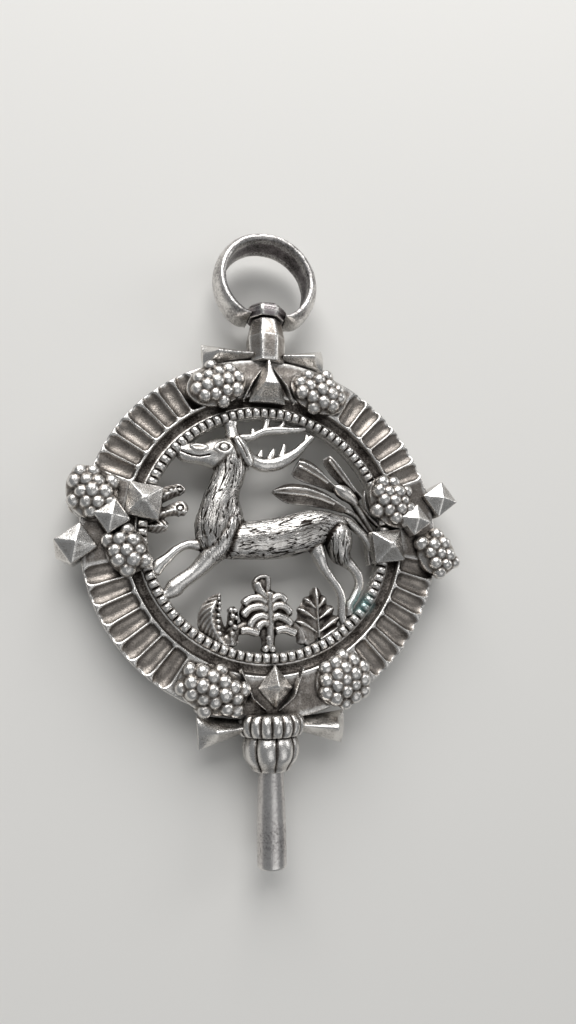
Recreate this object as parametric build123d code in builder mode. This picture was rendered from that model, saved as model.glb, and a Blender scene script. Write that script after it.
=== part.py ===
from build123d import *
import math
import os

os.makedirs("parts", exist_ok=True)

# A fob watch key, in millimetres. The origin is the centre of the pipe's mouth, +Y runs along the key
# to the bow, and +Z comes out of the front face. The middle plane of the key is Z = 0.

# Rim frame
rim_radius = 20.0
rim_half_depth = 1.0
window_radius = 13.1
bead_band = 1.2
bead_height = 0.7
ledge_half_depth = 0.45
channel_width = 1.1
openwork_half_depth = 0.5
openwork_gap = 0.05
body_sides = 8
limb_sides = 5

# Flutes in the rim
flute_outer_radius = 1.05
flute_inner_radius = 0.93
flute_axis_rise = 0.5
flute_inner_inset = 0.6
flute_full_inset = 1.3
flute_tip_inset = 0.25
flute_tip_radius = 0.6
flute_sides = 8
seat_sides = 36
flute_pitch = 6.4
flute_sectors = ((126.5, 6), (201.5, 6), (309.0, 7), (29.5, 5))

# Bead ring
bead_count = 48
bead_notch_depth = 0.3
bead_notch_width = 0.55

# Pipe, bulb and collar
pipe_length = 9.2
pipe_radius = 1.5
pipe_neck_radius = 1.28
pipe_straight = 4.4
pipe_sides = 20
socket_side = 1.5
socket_depth = 6.0
tenon_radius = 0.95
tenon_rise = 0.8
bulb_length = 3.5
bulb_radius = 3.05
bulb_top_radius = 2.7
bulb_shoulder_radius = 2.67
bulb_foot_radius = 1.9
bulb_shoulder_share = 0.28
bulb_belly_share = 0.6
bulb_lobes = 8
bulb_groove_share = 0.87
collar_length = 2.2
collar_radius = 3.75
collar_edge_radius = 3.2
collar_shoulder_share = 0.3
collar_lobes = 14
collar_groove_share = 0.91
collar_grip = 0.7

# Neck post, swivel and bow
octagon_sides = 8
neck_length = 5.3
neck_grip = 0.3
neck_foot_flats = 4.0
neck_flats = 4.4
neck_top_flats = 3.4
neck_bevel = 2.2
pin_radius = 0.7
pin_head_radius = 1.15
pin_head_length = 0.8
pin_fit = 0.04
pin_end_play = 0.08
pin_grip = 1.2
head_chamber_depth = 3.2
knob_gap = 0.12
knob_length = 2.0
knob_flats = 4.7
knob_dome_flats = 3.86
knob_crown_flats = 2.2
knob_wall = 0.9
bow_radius = 4.95
bow_wall = 0.65
bow_half_width = 2.0
bow_crown_half_width = 0.67
bow_bulge = 0.7
bow_rise = 4.8
bow_end_angle = 24
bow_facets = 28

# Grape clusters: heights are rises above the rim's face
cluster_rise = 1.95
cluster_sides = 7
cluster_dome_shares = ((0.95, 0.30), (0.50, 0.92))
grape_radius = 0.8
grape_height = 0.66
grape_taper = 30
grape_sides = 5
# Each tier: how many grapes, how far out and how high its foot lies, as shares of the dome
grape_tier_shares = ((2, 0.28, 0.72), (6, 0.78, 0.18))

# Studs of the side crosses: heights are rises above the rim's face
cross_turn = 36
stud_side = 3.0
stud_wall_rise = 0.9
stud_apex_rise = 1.9
boss_side = 2.7
boss_wall_rise = 1.5
boss_apex_rise = 2.4
outer_stud_side = 3.1
outer_stud_wall_rise = 0.65
outer_stud_apex_rise = 1.6
outer_stud_point = 0.9

# Kites, leaves and bars: heights are rises above the rim's face
kite_wall_rise = 0.3
top_kite_rise = 2.6
bottom_kite_rise = 2.1
leaf_pair_rise = 1.2
bar_hip = 1.3
bar_foot_half_width = 0.6
bar_foot_lift = 0.5
bar_foot_rise = 0.6
bar_end_rise = 1.5
top_bar_end_half_width = 1.05
wedge_end_half_width = 1.5

# Overrun of cutting bodies past the faces that they cut
overrun = 1.0

# Heights worked out from the pieces above
bulb_foot_y = pipe_length
collar_foot_y = bulb_foot_y + bulb_length
rim_foot_y = collar_foot_y + collar_length - collar_grip
centre_y = rim_foot_y + rim_radius
neck_foot_y = centre_y + rim_radius - neck_grip
neck_top_y = neck_foot_y + neck_length
knob_foot_y = neck_top_y + knob_gap
bow_y = knob_foot_y + bow_rise
bead_outer_radius = window_radius + bead_band
ridge_radius = bead_outer_radius + channel_width
bead_top = ledge_half_depth + bead_height
seat_top = max(rim_half_depth, bead_top)
corner_ratio = 1 / math.cos(math.pi / octagon_sides)


def share_point(x_share, y_share):
    """A place in the frame, given as shares of the rim's radius from the frame's centre."""
    return (x_share * rim_radius, centre_y + y_share * rim_radius)


def across(y):
    """A plane square to the key's long axis."""
    return Plane(origin=(0, y, 0), x_dir=(1, 0, 0), z_dir=(0, 1, 0))


def polygon_corners(half_width, half_depth, sides):
    """Corners of a regular polygon drawn out to a width and a depth, the first one half a side up."""
    turns = [2 * math.pi * (n + 0.5) / sides for n in range(sides)]
    return [(half_width * math.cos(t), half_depth * math.sin(t)) for t in turns]


def rhombus_corners(half_width, half_depth):
    """Corners of a rhombus, the section of a ridged bar or leaf."""
    return [(half_width, 0), (0, half_depth), (-half_width, 0), (0, -half_depth)]


def lobed_corners(radius, lobes, groove_share):
    """Corners of a gadrooned round: one for each lobe's crown and one for the groove beside it."""
    corners = []
    for n in range(lobes):
        for step, share in ((0, 1.0), (0.5, groove_share)):
            turn = 2 * math.pi * (n + step) / lobes
            corners.append((share * radius * math.cos(turn), share * radius * math.sin(turn)))
    return corners


def section(place, along, corners):
    """Corners set square to a direction that lies flat, across it and up."""
    across_it = Vector(-along.Y, along.X, 0)
    return [place + across_it * aside + Vector(0, 0, up) for aside, up in corners]


def flat_loft(rings):
    """A solid with flat facets through rings of corners, each ring with the same count of corners."""
    facets = [Face(Wire.make_polygon(rings[0])), Face(Wire.make_polygon(rings[-1]))]
    for low, high in zip(rings, rings[1:]):
        for n in range(len(low)):
            facets.append(Face(Wire.make_polygon([low[n - 1], low[n], high[n]])))
            facets.append(Face(Wire.make_polygon([low[n - 1], high[n], high[n - 1]])))
    return Solid(Shell(facets))


def save(piece, name):
    """Label a finished piece and write it."""
    piece.label = name
    export_step(piece, f"parts/{name}.step")


def save_both_sides(piece, name):
    """Write a front piece and its mirror image on the back."""
    with BuildPart() as back:
        add(mirror(piece, about=Plane.XY))
    save(piece, name + "_front")
    save(back.part, name + "_back")


def octagonal(levels):
    """An eight-sided post along the key, through levels of height and width across flats."""
    rings = []
    for height, flats in levels:
        reach = flats / 2 * corner_ratio
        corners = polygon_corners(reach, reach, octagon_sides)
        rings.append(section(Vector(0, height, 0), Vector(0, 1, 0), corners))
    return flat_loft(rings)


def gadrooned(levels, lobes, groove_share):
    """A lobed round along the key, through levels of height and radius."""
    rings = []
    for height, radius in levels:
        corners = lobed_corners(radius, lobes, groove_share)
        rings.append(section(Vector(0, height, 0), Vector(0, 1, 0), corners))
    return flat_loft(rings)


centre_axis = Axis((0, centre_y, 0), (0, 0, 1))
centre_plane = Plane(origin=(0, centre_y, 0), x_dir=(1, 0, 0), z_dir=(0, -1, 0))

# Blank of the frame before its flutes are cut
with BuildPart() as frame_blank:
    with BuildSketch(centre_plane):
        with BuildLine():
            Polyline(
                (rim_radius, -rim_half_depth),
                (ridge_radius, -rim_half_depth),
                (ridge_radius, -ledge_half_depth),
                (window_radius, -ledge_half_depth),
                (window_radius, ledge_half_depth),
                (ridge_radius, ledge_half_depth),
                (ridge_radius, rim_half_depth),
                (rim_radius, rim_half_depth),
                close=True,
            )
        make_face()
    revolve(axis=centre_axis)

# What a piece in the round is slotted over: the blank and both bead rings
with BuildPart() as rim_seat:
    add(frame_blank.part)
    with BuildSketch(Plane.XY.offset(-bead_top)):
        with Locations((0, centre_y)):
            Circle(bead_outer_radius)
            Circle(window_radius, mode=Mode.SUBTRACT)
    extrude(amount=2 * bead_top)

# What an ornament on the face sits on, with flat sides: the rim's face, the beads and the openwork
with BuildPart() as face_seat:
    for height, radius, inner_radius in (
        (rim_half_depth, rim_radius, window_radius),
        (bead_top, bead_outer_radius, window_radius),
        (openwork_half_depth + openwork_gap, window_radius, 0),
    ):
        with BuildSketch(Plane.XY.offset(-height)):
            with Locations((0, centre_y)):
                RegularPolygon(radius, seat_sides, major_radius=False)
                if inner_radius:
                    RegularPolygon(inner_radius, seat_sides, mode=Mode.SUBTRACT)
        extrude(amount=2 * height)

# One flute on each face: a flat-sided spindle that lies along the radius
with BuildPart() as flute:
    for face_side in (1, -1):
        axis_height = face_side * (rim_half_depth + flute_axis_rise)
        rings = []
        for reach, radius in (
            (ridge_radius + flute_inner_inset, flute_inner_radius),
            (rim_radius - flute_full_inset, flute_outer_radius),
            (rim_radius - flute_tip_inset, flute_tip_radius),
        ):
            corners = polygon_corners(radius, radius, flute_sides)
            rings.append(section(Vector(reach, 0, axis_height), Vector(1, 0, 0), corners))
        add(flat_loft(rings))

flute_places = [
    Location((0, centre_y, 0), (0, 0, first_angle + step * flute_pitch))
    for first_angle, count in flute_sectors
    for step in range(count)
]

# Rim frame, with its flutes scooped out of both faces
with BuildPart() as rim_frame:
    add(frame_blank.part)
    with Locations(*flute_places):
        add(flute.part, mode=Mode.SUBTRACT)
save(rim_frame.part, "rim_frame")

# Bead ring: a many-sided band, cut across at its corners by notches
with BuildPart() as notch:
    notch_plane = Plane(origin=(window_radius - overrun, 0, bead_top), x_dir=(0, 1, 0), z_dir=(1, 0, 0))
    with BuildSketch(notch_plane):
        with BuildLine():
            notch_edge = bead_notch_width / 2
            Polyline((-notch_edge, 0), (0, -bead_notch_depth), (notch_edge, 0), close=True)
        make_face()
    extrude(amount=bead_band + 2 * overrun)

with BuildPart() as bead_ring:
    with BuildSketch(Plane.XY.offset(ledge_half_depth)):
        with Locations((0, centre_y)):
            RegularPolygon(bead_outer_radius, bead_count)
            RegularPolygon(window_radius, bead_count, major_radius=False, mode=Mode.SUBTRACT)
    extrude(amount=bead_height)
    with Locations(*[Location((0, centre_y, 0), (0, 0, 360 * n / bead_count)) for n in range(bead_count)]):
        add(notch.part, mode=Mode.SUBTRACT)
save_both_sides(bead_ring.part, "bead_ring")


def faceted_stud(x_share, y_share, side, wall_rise, apex_rise, keep_clear_of=()):
    """A square stud with upright walls and a pyramid on top, set down on its seat."""
    x, y = share_point(x_share, y_share)
    with BuildSketch(Plane.XY) as foot:
        with Locations((x, y)):
            Rectangle(side, side, rotation=cross_turn)
    with BuildSketch(Plane.XY.offset(rim_half_depth + wall_rise)) as shoulder:
        with Locations((x, y)):
            Rectangle(side, side, rotation=cross_turn)
    with BuildPart() as stud:
        extrude(foot.sketch, amount=rim_half_depth + wall_rise)
        loft(sections=[shoulder.sketch.face(), Vertex(x, y, rim_half_depth + apex_rise)], ruled=True)
        add(face_seat.part, mode=Mode.SUBTRACT)
        for other in keep_clear_of:
            add(other, mode=Mode.SUBTRACT)
    return stud.part


def outer_stud(x_share, y_share, outward_turn):
    """A square stud in the round, slotted over the rim, with a low pyramid on each free face."""
    x, y = share_point(x_share, y_share)
    out = Vector(1, 0, 0).rotate(Axis.Z, outward_turn)
    middle = Vector(x, y, 0)
    half = outer_stud_side / 2
    half_depth = rim_half_depth + outer_stud_wall_rise
    crown = outer_stud_apex_rise - outer_stud_wall_rise
    faces = (
        (Plane(middle + Vector(0, 0, half_depth), x_dir=out, z_dir=(0, 0, 1)), half, crown),
        (Plane(middle - Vector(0, 0, half_depth), x_dir=out, z_dir=(0, 0, -1)), half, crown),
        (Plane(middle + out * half, x_dir=(0, 0, 1), z_dir=out), half_depth, outer_stud_point),
    )
    bases = []
    for plane, half_width, rise in faces:
        with BuildSketch(plane) as base:
            Rectangle(2 * half_width, outer_stud_side)
        bases.append((base.sketch.face(), Vertex(*(plane.origin + plane.z_dir * rise))))
    with BuildPart() as stud:
        with BuildSketch(faces[1][0]):
            Rectangle(outer_stud_side, outer_stud_side)
        extrude(amount=-2 * half_depth)
        for base_face, apex in bases:
            loft(sections=[base_face, apex], ruled=True)
        add(rim_seat.part, mode=Mode.SUBTRACT)
    return stud.part


with BuildPart() as grape:
    with BuildSketch(Plane.XY):
        RegularPolygon(grape_radius, grape_sides)
    extrude(amount=grape_height, taper=grape_taper)


def grape_cluster(x_share, y_share, half_long_share, half_wide_share, tilt, keep_clear_of):
    """A domed bunch of grapes: a faceted dome with tiers of bosses on it, set down on its seat."""
    x, y = share_point(x_share, y_share)
    half_long = half_long_share * rim_radius
    half_wide = half_wide_share * rim_radius
    place = Location((x, y, 0), (0, 0, tilt))

    def ring(plan_share, count, height):
        """Places spread round the bunch's outline, drawn in by a share."""
        turns = [2 * math.pi * n / count for n in range(count)]
        return [
            Vector(plan_share * half_long * math.cos(t), plan_share * half_wide * math.sin(t), height)
            for t in turns
        ]

    dome = [ring(1, cluster_sides, 0)]
    for plan_share, rise_share in cluster_dome_shares:
        dome.append(ring(plan_share, cluster_sides, rim_half_depth + rise_share * cluster_rise))
    grape_places = []
    for count, plan_share, rise_share in grape_tier_shares:
        foot = seat_top + rise_share * (rim_half_depth + cluster_rise - seat_top)
        grape_places += [place * Location(spot) for spot in ring(plan_share, count, foot)]
    with BuildPart() as cluster:
        with Locations(place):
            add(flat_loft(dome))
        add(face_seat.part, mode=Mode.SUBTRACT)
        with Locations(*grape_places):
            add(grape.part)
        for other in keep_clear_of:
            add(other, mode=Mode.SUBTRACT)
    return cluster.part


def flared_bar(foot, end, end_half_width, keep_clear_of):
    """A ridged bar in the round that widens outward and ends in a sloping hip on both faces."""
    run = Vector(*end) - Vector(*foot)
    along = run.normalized()
    end_half_depth = rim_half_depth + bar_end_rise
    rings = [
        section(Vector(*spot), along, rhombus_corners(half_width, half_depth))
        for spot, half_width, half_depth in (
            (foot, bar_foot_half_width, rim_half_depth + bar_foot_rise),
            (end, end_half_width, end_half_depth),
        )
    ]
    with BuildPart() as bar:
        add(flat_loft(rings))
        for face_side in (1, -1):
            slope = along * end_half_depth + Vector(0, 0, face_side * bar_hip)
            split(bisect_by=Plane(Vector(*end), z_dir=slope), keep=Keep.BOTTOM)
        add(rim_seat.part, mode=Mode.SUBTRACT)
        for other in keep_clear_of:
            add(other, mode=Mode.SUBTRACT)
    return bar.part


def strip(stations, sides):
    """A tapering body with flat facets through stations of x, y, half width and half depth.

    Its section, square to the line of places, is a polygon for a limb or a trunk and, with four
    sides, a rhombus for a ridged leaf.
    """
    places = [Vector(x, y, 0) for x, y, half_width, half_depth in stations]
    rings = []
    for n, (x, y, half_width, half_depth) in enumerate(stations):
        along = (places[min(n + 1, len(places) - 1)] - places[max(n - 1, 0)]).normalized()
        if sides == 4:
            corners = rhombus_corners(half_width, half_depth)
        else:
            corners = polygon_corners(half_width, half_depth, sides)
        rings.append(section(places[n], along, corners))
    return flat_loft(rings)


def in_window(share_stations):
    """Stations given as shares of the window's radius from the frame's centre, as real sizes."""
    stations = []
    for x, y, half_width, half_depth in share_stations:
        place = (x * window_radius, centre_y + y * window_radius)
        stations.append((*place, half_width * window_radius, half_depth * window_radius))
    return stations


def openwork(bodies, keep_clear_of=()):
    """Join the bodies of one openwork casting, end it at the window's wall and keep it off others."""
    with BuildPart() as casting:
        for body in bodies:
            add(body)
        with BuildSketch(Plane.XY.offset(-rim_radius)):
            with Locations((0, centre_y)):
                Circle(window_radius)
        extrude(amount=2 * rim_radius, mode=Mode.INTERSECT)
        for other in keep_clear_of:
            add(other, mode=Mode.SUBTRACT)
    return casting.part


# Stag: rounded trunk, neck and head, with faceted limbs, ear, tail and antlers
trunk_shares = (
    (-0.50, -0.09, 0.10, 0.07),
    (-0.36, -0.07, 0.17, 0.115),
    (-0.10, -0.06, 0.17, 0.12),
    (0.14, -0.03, 0.17, 0.12),
    (0.36, 0.03, 0.165, 0.115),
    (0.56, 0.05, 0.155, 0.115),
    (0.71, 0.02, 0.08, 0.07),
)
throat_shares = (
    (-0.45, -0.13, 0.16, 0.10),
    (-0.43, 0.06, 0.19, 0.12),
    (-0.41, 0.23, 0.16, 0.115),
    (-0.37, 0.37, 0.135, 0.105),
    (-0.33, 0.51, 0.13, 0.10),
    (-0.31, 0.63, 0.12, 0.10),
)
head_shares = (
    (-0.25, 0.70, 0.06, 0.05),
    (-0.33, 0.69, 0.115, 0.10),
    (-0.46, 0.67, 0.115, 0.095),
    (-0.58, 0.665, 0.085, 0.08),
    (-0.68, 0.66, 0.07, 0.065),
    (-0.78, 0.64, 0.035, 0.04),
)
limb_shares = (
    # ear
    (
        (-0.28, 0.74, 0.02, 0.06),
        (-0.22, 0.67, 0.05, 0.09),
        (-0.16, 0.59, 0.035, 0.08),
        (-0.13, 0.54, 0.01, 0.03),
    ),
    # far foreleg
    (
        (-0.54, -0.06, 0.07, 0.05),
        (-0.68, -0.11, 0.036, 0.035),
        (-0.79, -0.17, 0.03, 0.03),
        (-0.87, -0.235, 0.032, 0.03),
        (-0.99, -0.29, 0.036, 0.035),
    ),
    # near foreleg
    (
        (-0.41, -0.10, 0.12, 0.10),
        (-0.53, -0.24, 0.065, 0.075),
        (-0.63, -0.33, 0.042, 0.045),
        (-0.73, -0.41, 0.032, 0.035),
        (-0.81, -0.455, 0.045, 0.04),
        (-0.92, -0.50, 0.05, 0.04),
    ),
    # near hind leg with its haunch
    (
        (0.57, 0.08, 0.06, 0.08),
        (0.61, -0.04, 0.125, 0.13),
        (0.68, -0.17, 0.07, 0.08),
        (0.77, -0.29, 0.036, 0.04),
        (0.80, -0.38, 0.032, 0.035),
        (0.75, -0.47, 0.03, 0.035),
        (0.72, -0.60, 0.03, 0.035),
        (0.76, -0.72, 0.04, 0.04),
    ),
    # far hind leg
    (
        (0.43, -0.05, 0.08, 0.07),
        (0.47, -0.28, 0.04, 0.045),
        (0.56, -0.38, 0.03, 0.035),
        (0.61, -0.48, 0.028, 0.03),
        (0.64, -0.62, 0.028, 0.03),
        (0.68, -0.80, 0.035, 0.035),
    ),
    # tail
    (
        (0.66, 0.13, 0.03, 0.04),
        (0.77, 0.075, 0.034, 0.04),
        (0.85, 0.0, 0.03, 0.038),
        (1.02, -0.20, 0.03, 0.035),
    ),
    # brow tine
    ((-0.29, 0.76, 0.04, 0.05), (-0.30, 0.87, 0.028, 0.035), (-0.34, 1.0, 0.024, 0.03)),
    # upper beam and the points that rise from it
    (
        (-0.26, 0.78, 0.03, 0.04),
        (-0.14, 0.83, 0.024, 0.035),
        (-0.05, 0.88, 0.024, 0.035),
        (0.09, 0.93, 0.026, 0.035),
        (0.24, 0.945, 0.022, 0.03),
        (0.40, 0.95, 0.018, 0.03),
    ),
    ((-0.11, 0.84, 0.02, 0.03), (-0.12, 0.92, 0.01, 0.015)),
    ((0.0, 0.90, 0.022, 0.03), (0.0, 1.03, 0.022, 0.03)),
    ((0.10, 0.93, 0.02, 0.03), (0.16, 1.03, 0.022, 0.03)),
    # lower beam and the points that rise from it
    (
        (-0.24, 0.72, 0.03, 0.04),
        (-0.11, 0.635, 0.03, 0.04),
        (0.0, 0.605, 0.03, 0.04),
        (0.12, 0.625, 0.032, 0.04),
        (0.235, 0.69, 0.03, 0.038),
        (0.345, 0.785, 0.026, 0.035),
        (0.47, 0.91, 0.02, 0.03),
    ),
    ((-0.07, 0.62, 0.02, 0.03), (-0.04, 0.73, 0.008, 0.015)),
    ((0.015, 0.61, 0.02, 0.03), (0.06, 0.75, 0.008, 0.015)),
    ((0.125, 0.64, 0.02, 0.03), (0.16, 0.78, 0.008, 0.015)),
    ((0.345, 0.79, 0.02, 0.03), (0.365, 0.89, 0.01, 0.02)),
)
stag = openwork(
    [strip(in_window(shares), body_sides) for shares in (trunk_shares, throat_shares, head_shares)]
    + [strip(in_window(shares), limb_sides) for shares in limb_shares]
)
save(stag, "stag")

# Leaves of the openwork, each with a ridge down both faces
right_spray_shares = (
    (
        (0.66, 0.36, 0.04, 0.04),
        (0.47, 0.33, 0.065, 0.05),
        (0.31, 0.355, 0.085, 0.06),
        (0.15, 0.36, 0.065, 0.05),
        (0.04, 0.355, 0.01, 0.02),
    ),
    (
        (0.63, 0.39, 0.04, 0.04),
        (0.50, 0.49, 0.065, 0.05),
        (0.36, 0.57, 0.085, 0.06),
        (0.27, 0.62, 0.055, 0.04),
    ),
    (
        (0.80, 0.33, 0.03, 0.04),
        (0.71, 0.45, 0.042, 0.045),
        (0.63, 0.58, 0.045, 0.05),
        (0.55, 0.69, 0.035, 0.04),
    ),
    (
        (0.58, 0.42, 0.035, 0.05),
        (0.68, 0.36, 0.055, 0.07),
        (0.83, 0.19, 0.035, 0.05),
        (1.02, -0.02, 0.03, 0.04),
    ),
    (
        (0.66, 0.33, 0.03, 0.04),
        (0.79, 0.17, 0.025, 0.035),
        (0.91, 0.02, 0.025, 0.035),
        (1.02, -0.10, 0.025, 0.035),
    ),
    ((0.77, 0.26, 0.03, 0.04), (0.84, 0.30, 0.03, 0.035), (1.0, 0.24, 0.03, 0.035)),
)
left_spray_shares = (
    (
        (-1.02, 0.20, 0.04, 0.03),
        (-0.86, 0.29, 0.04, 0.038),
        (-0.76, 0.33, 0.03, 0.03),
        (-0.69, 0.35, 0.012, 0.02),
    ),
    (
        (-1.02, 0.16, 0.04, 0.03),
        (-0.84, 0.145, 0.025, 0.03),
        (-0.74, 0.165, 0.045, 0.038),
        (-0.68, 0.17, 0.02, 0.02),
    ),
    ((-1.02, 0.09, 0.04, 0.03), (-0.93, 0.04, 0.045, 0.038), (-0.82, 0.015, 0.018, 0.02)),
    ((-0.97, 0.30, 0.04, 0.03), (-0.99, 0.15, 0.04, 0.03), (-1.0, 0.03, 0.04, 0.03)),
)
left_ground_shares = (
    (
        (-0.46, -0.94, 0.06, 0.03),
        (-0.50, -0.82, 0.085, 0.04),
        (-0.49, -0.71, 0.08, 0.04),
        (-0.45, -0.61, 0.06, 0.035),
        (-0.39, -0.51, 0.01, 0.02),
    ),
    (
        (-0.38, -0.98, 0.09, 0.03),
        (-0.35, -0.84, 0.08, 0.04),
        (-0.31, -0.73, 0.04, 0.035),
        (-0.30, -0.62, 0.01, 0.02),
    ),
)
palmette_shares = (
    (
        (0.0, -1.03, 0.05, 0.04),
        (0.0, -0.82, 0.035, 0.04),
        (0.0, -0.56, 0.03, 0.05),
        (-0.02, -0.40, 0.02, 0.03),
    ),
    (
        (0.0, -0.58, 0.04, 0.03),
        (-0.12, -0.66, 0.10, 0.04),
        (-0.20, -0.78, 0.04, 0.03),
        (-0.25, -0.86, 0.01, 0.02),
    ),
    (
        (0.0, -0.58, 0.04, 0.03),
        (0.10, -0.66, 0.09, 0.04),
        (0.17, -0.78, 0.04, 0.03),
        (0.21, -0.86, 0.01, 0.02),
    ),
    ((0.0, -0.72, 0.03, 0.03), (-0.09, -0.75, 0.05, 0.035), (-0.17, -0.83, 0.01, 0.02)),
    ((0.0, -0.72, 0.03, 0.03), (0.08, -0.75, 0.05, 0.035), (0.15, -0.83, 0.01, 0.02)),
    ((0.0, -0.50, 0.03, 0.03), (-0.07, -0.45, 0.045, 0.04), (-0.06, -0.38, 0.02, 0.02)),
    ((0.0, -0.50, 0.03, 0.03), (0.04, -0.46, 0.035, 0.04), (0.03, -0.40, 0.015, 0.02)),
)
right_ground_shares = (
    (
        (0.38, -0.95, 0.06, 0.03),
        (0.40, -0.78, 0.09, 0.04),
        (0.40, -0.62, 0.07, 0.04),
        (0.41, -0.46, 0.015, 0.02),
    ),
    ((0.28, -0.98, 0.05, 0.03), (0.25, -0.82, 0.06, 0.04), (0.23, -0.66, 0.015, 0.02)),
    ((0.50, -0.90, 0.05, 0.03), (0.54, -0.76, 0.07, 0.04), (0.55, -0.62, 0.02, 0.02)),
)
leaf_castings = {}
for name, leaf_shares in (
    ("left_leaf_spray", left_spray_shares),
    ("right_leaf_spray", right_spray_shares),
    ("ground_palmette", palmette_shares),
    ("left_ground_leaf", left_ground_shares),
    ("right_ground_leaf", right_ground_shares),
):
    leaves = [strip(in_window(shares), sides=4) for shares in leaf_shares]
    leaf_castings[name] = openwork(leaves, keep_clear_of=[stag, *leaf_castings.values()])
    save(leaf_castings[name], name)


def kite(corner_shares, apex_share, apex_rise):
    """A faceted kite: an upright foot on the outline and a pyramid over it, set down on its seat."""
    corners = [share_point(*corner) for corner in corner_shares]
    outlines = []
    for height in (0, rim_half_depth + kite_wall_rise):
        with BuildSketch(Plane.XY.offset(height)) as outline:
            with BuildLine():
                Polyline(*corners, close=True)
            make_face()
        outlines.append(outline.sketch.face())
    apex = Vertex(*share_point(*apex_share), rim_half_depth + apex_rise)
    with BuildPart() as piece:
        extrude(outlines[0], amount=rim_half_depth + kite_wall_rise)
        loft(sections=[outlines[1], apex], ruled=True)
        add(face_seat.part, mode=Mode.SUBTRACT)
    return piece.part


def side_leaf(way, leaf_shares, keep_clear_of):
    """A ridged leaf set down on its seat beside a kite: the front half of a rhombus bar."""
    stations = []
    for x, y, half_width, rise_share in leaf_shares:
        half_depth = rim_half_depth + rise_share * leaf_pair_rise
        stations.append((*share_point(way * x, y), half_width * rim_radius, half_depth))
    with BuildPart() as leaf:
        add(strip(stations, sides=4))
        split(bisect_by=Plane.XY, keep=Keep.TOP)
        add(face_seat.part, mode=Mode.SUBTRACT)
        for other in keep_clear_of:
            add(other, mode=Mode.SUBTRACT)
    return leaf.part


# Kites at the top and the bottom of the frame, and the ridged leaves beside them
top_kite_shares = ((0.0, 0.97), (-0.115, 0.735), (0.10, 0.735))
bottom_kite_shares = ((0.015, -0.715), (0.11, -0.835), (0.015, -0.94), (-0.08, -0.835))
top_kite = kite(top_kite_shares, (0.0, 0.80), top_kite_rise)
bottom_kite = kite(bottom_kite_shares, (0.015, -0.82), bottom_kite_rise)
save_both_sides(top_kite, "top_kite")
save_both_sides(bottom_kite, "bottom_kite")
top_leaf_shares = ((0.03, 0.95, 0.015, 0.3), (0.10, 0.84, 0.03, 0.8), (0.15, 0.735, 0.03, 0.5))
calyx_leaf_shares = ((0.03, -0.95, 0.02, 0.4), (0.11, -0.88, 0.035, 0.9), (0.17, -0.73, 0.03, 0.6))
kite_leaves = {"top": [], "bottom": []}
for side_name, way in (("left", -1), ("right", 1)):
    top_leaf = side_leaf(way, top_leaf_shares, [top_kite])
    calyx_leaf = side_leaf(way, calyx_leaf_shares, [bottom_kite])
    save_both_sides(top_leaf, f"top_leaf_{side_name}")
    save_both_sides(calyx_leaf, f"calyx_leaf_{side_name}")
    kite_leaves["top"].append(top_leaf)
    kite_leaves["bottom"].append(calyx_leaf)

# Neck post: an octagonal post with a bevelled top, bored for the swivel pin and its head
neck_levels = (
    (neck_foot_y, neck_foot_flats),
    (neck_top_y - neck_bevel, neck_flats),
    (neck_top_y, neck_top_flats),
)
with BuildPart() as neck_post:
    add(octagonal(neck_levels))
    add(rim_seat.part, mode=Mode.SUBTRACT)
    with BuildSketch(across(neck_foot_y)):
        Circle(pin_head_radius + pin_fit)
    extrude(amount=head_chamber_depth, mode=Mode.SUBTRACT)
    with BuildSketch(across(neck_foot_y)):
        Circle(pin_radius + pin_fit)
    extrude(amount=neck_length + overrun, mode=Mode.SUBTRACT)
save(neck_post.part, "neck_post")

# Swivel pin: a headed pin whose shank is fixed in the bow's knob
pin_head_top_y = neck_foot_y + head_chamber_depth - pin_end_play
with BuildPart() as swivel_pin:
    with BuildSketch(across(pin_head_top_y - pin_head_length)):
        Circle(pin_head_radius)
    extrude(amount=pin_head_length)
    with BuildSketch(across(pin_head_top_y)):
        Circle(pin_radius)
    extrude(amount=knob_foot_y + pin_grip - pin_head_top_y)
save(swivel_pin.part, "swivel_pin")

# Bow knob: an octagonal domed knob over the neck, bored for the pin
knob_levels = (
    (knob_foot_y, knob_flats),
    (knob_foot_y + knob_wall, knob_flats),
    (knob_foot_y + (knob_wall + knob_length) / 2, knob_dome_flats),
    (knob_foot_y + knob_length, knob_crown_flats),
)
with BuildPart() as bow_knob:
    add(octagonal(knob_levels))
    with BuildSketch(across(knob_foot_y)):
        Circle(pin_radius)
    extrude(amount=pin_grip, mode=Mode.SUBTRACT)
save(bow_knob.part, "bow_knob")

# Bow ring: a wide band, flat inside and bulging outside, carried round an open arc into the knob
bow_outer = bow_radius + bow_wall
bow_profile = (
    (bow_radius, -bow_half_width),
    (bow_outer, -bow_half_width),
    (bow_outer + bow_bulge, -bow_crown_half_width),
    (bow_outer + bow_bulge, bow_crown_half_width),
    (bow_outer, bow_half_width),
    (bow_radius, bow_half_width),
)
bow_sections = []
for n in range(bow_facets + 1):
    turn = math.radians(bow_end_angle + (360 - 2 * bow_end_angle) * n / bow_facets)
    bow_sections.append(
        [
            Vector(reach * math.sin(turn), bow_y - reach * math.cos(turn), height)
            for reach, height in bow_profile
        ]
    )
with BuildPart() as bow_ring:
    add(flat_loft(bow_sections))
    with BuildSketch(across(knob_foot_y)):
        RegularPolygon(knob_flats / 2, octagon_sides, major_radius=False, rotation=180 / octagon_sides)
    extrude(amount=knob_length, mode=Mode.SUBTRACT)
save(bow_ring.part, "bow_ring")

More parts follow.
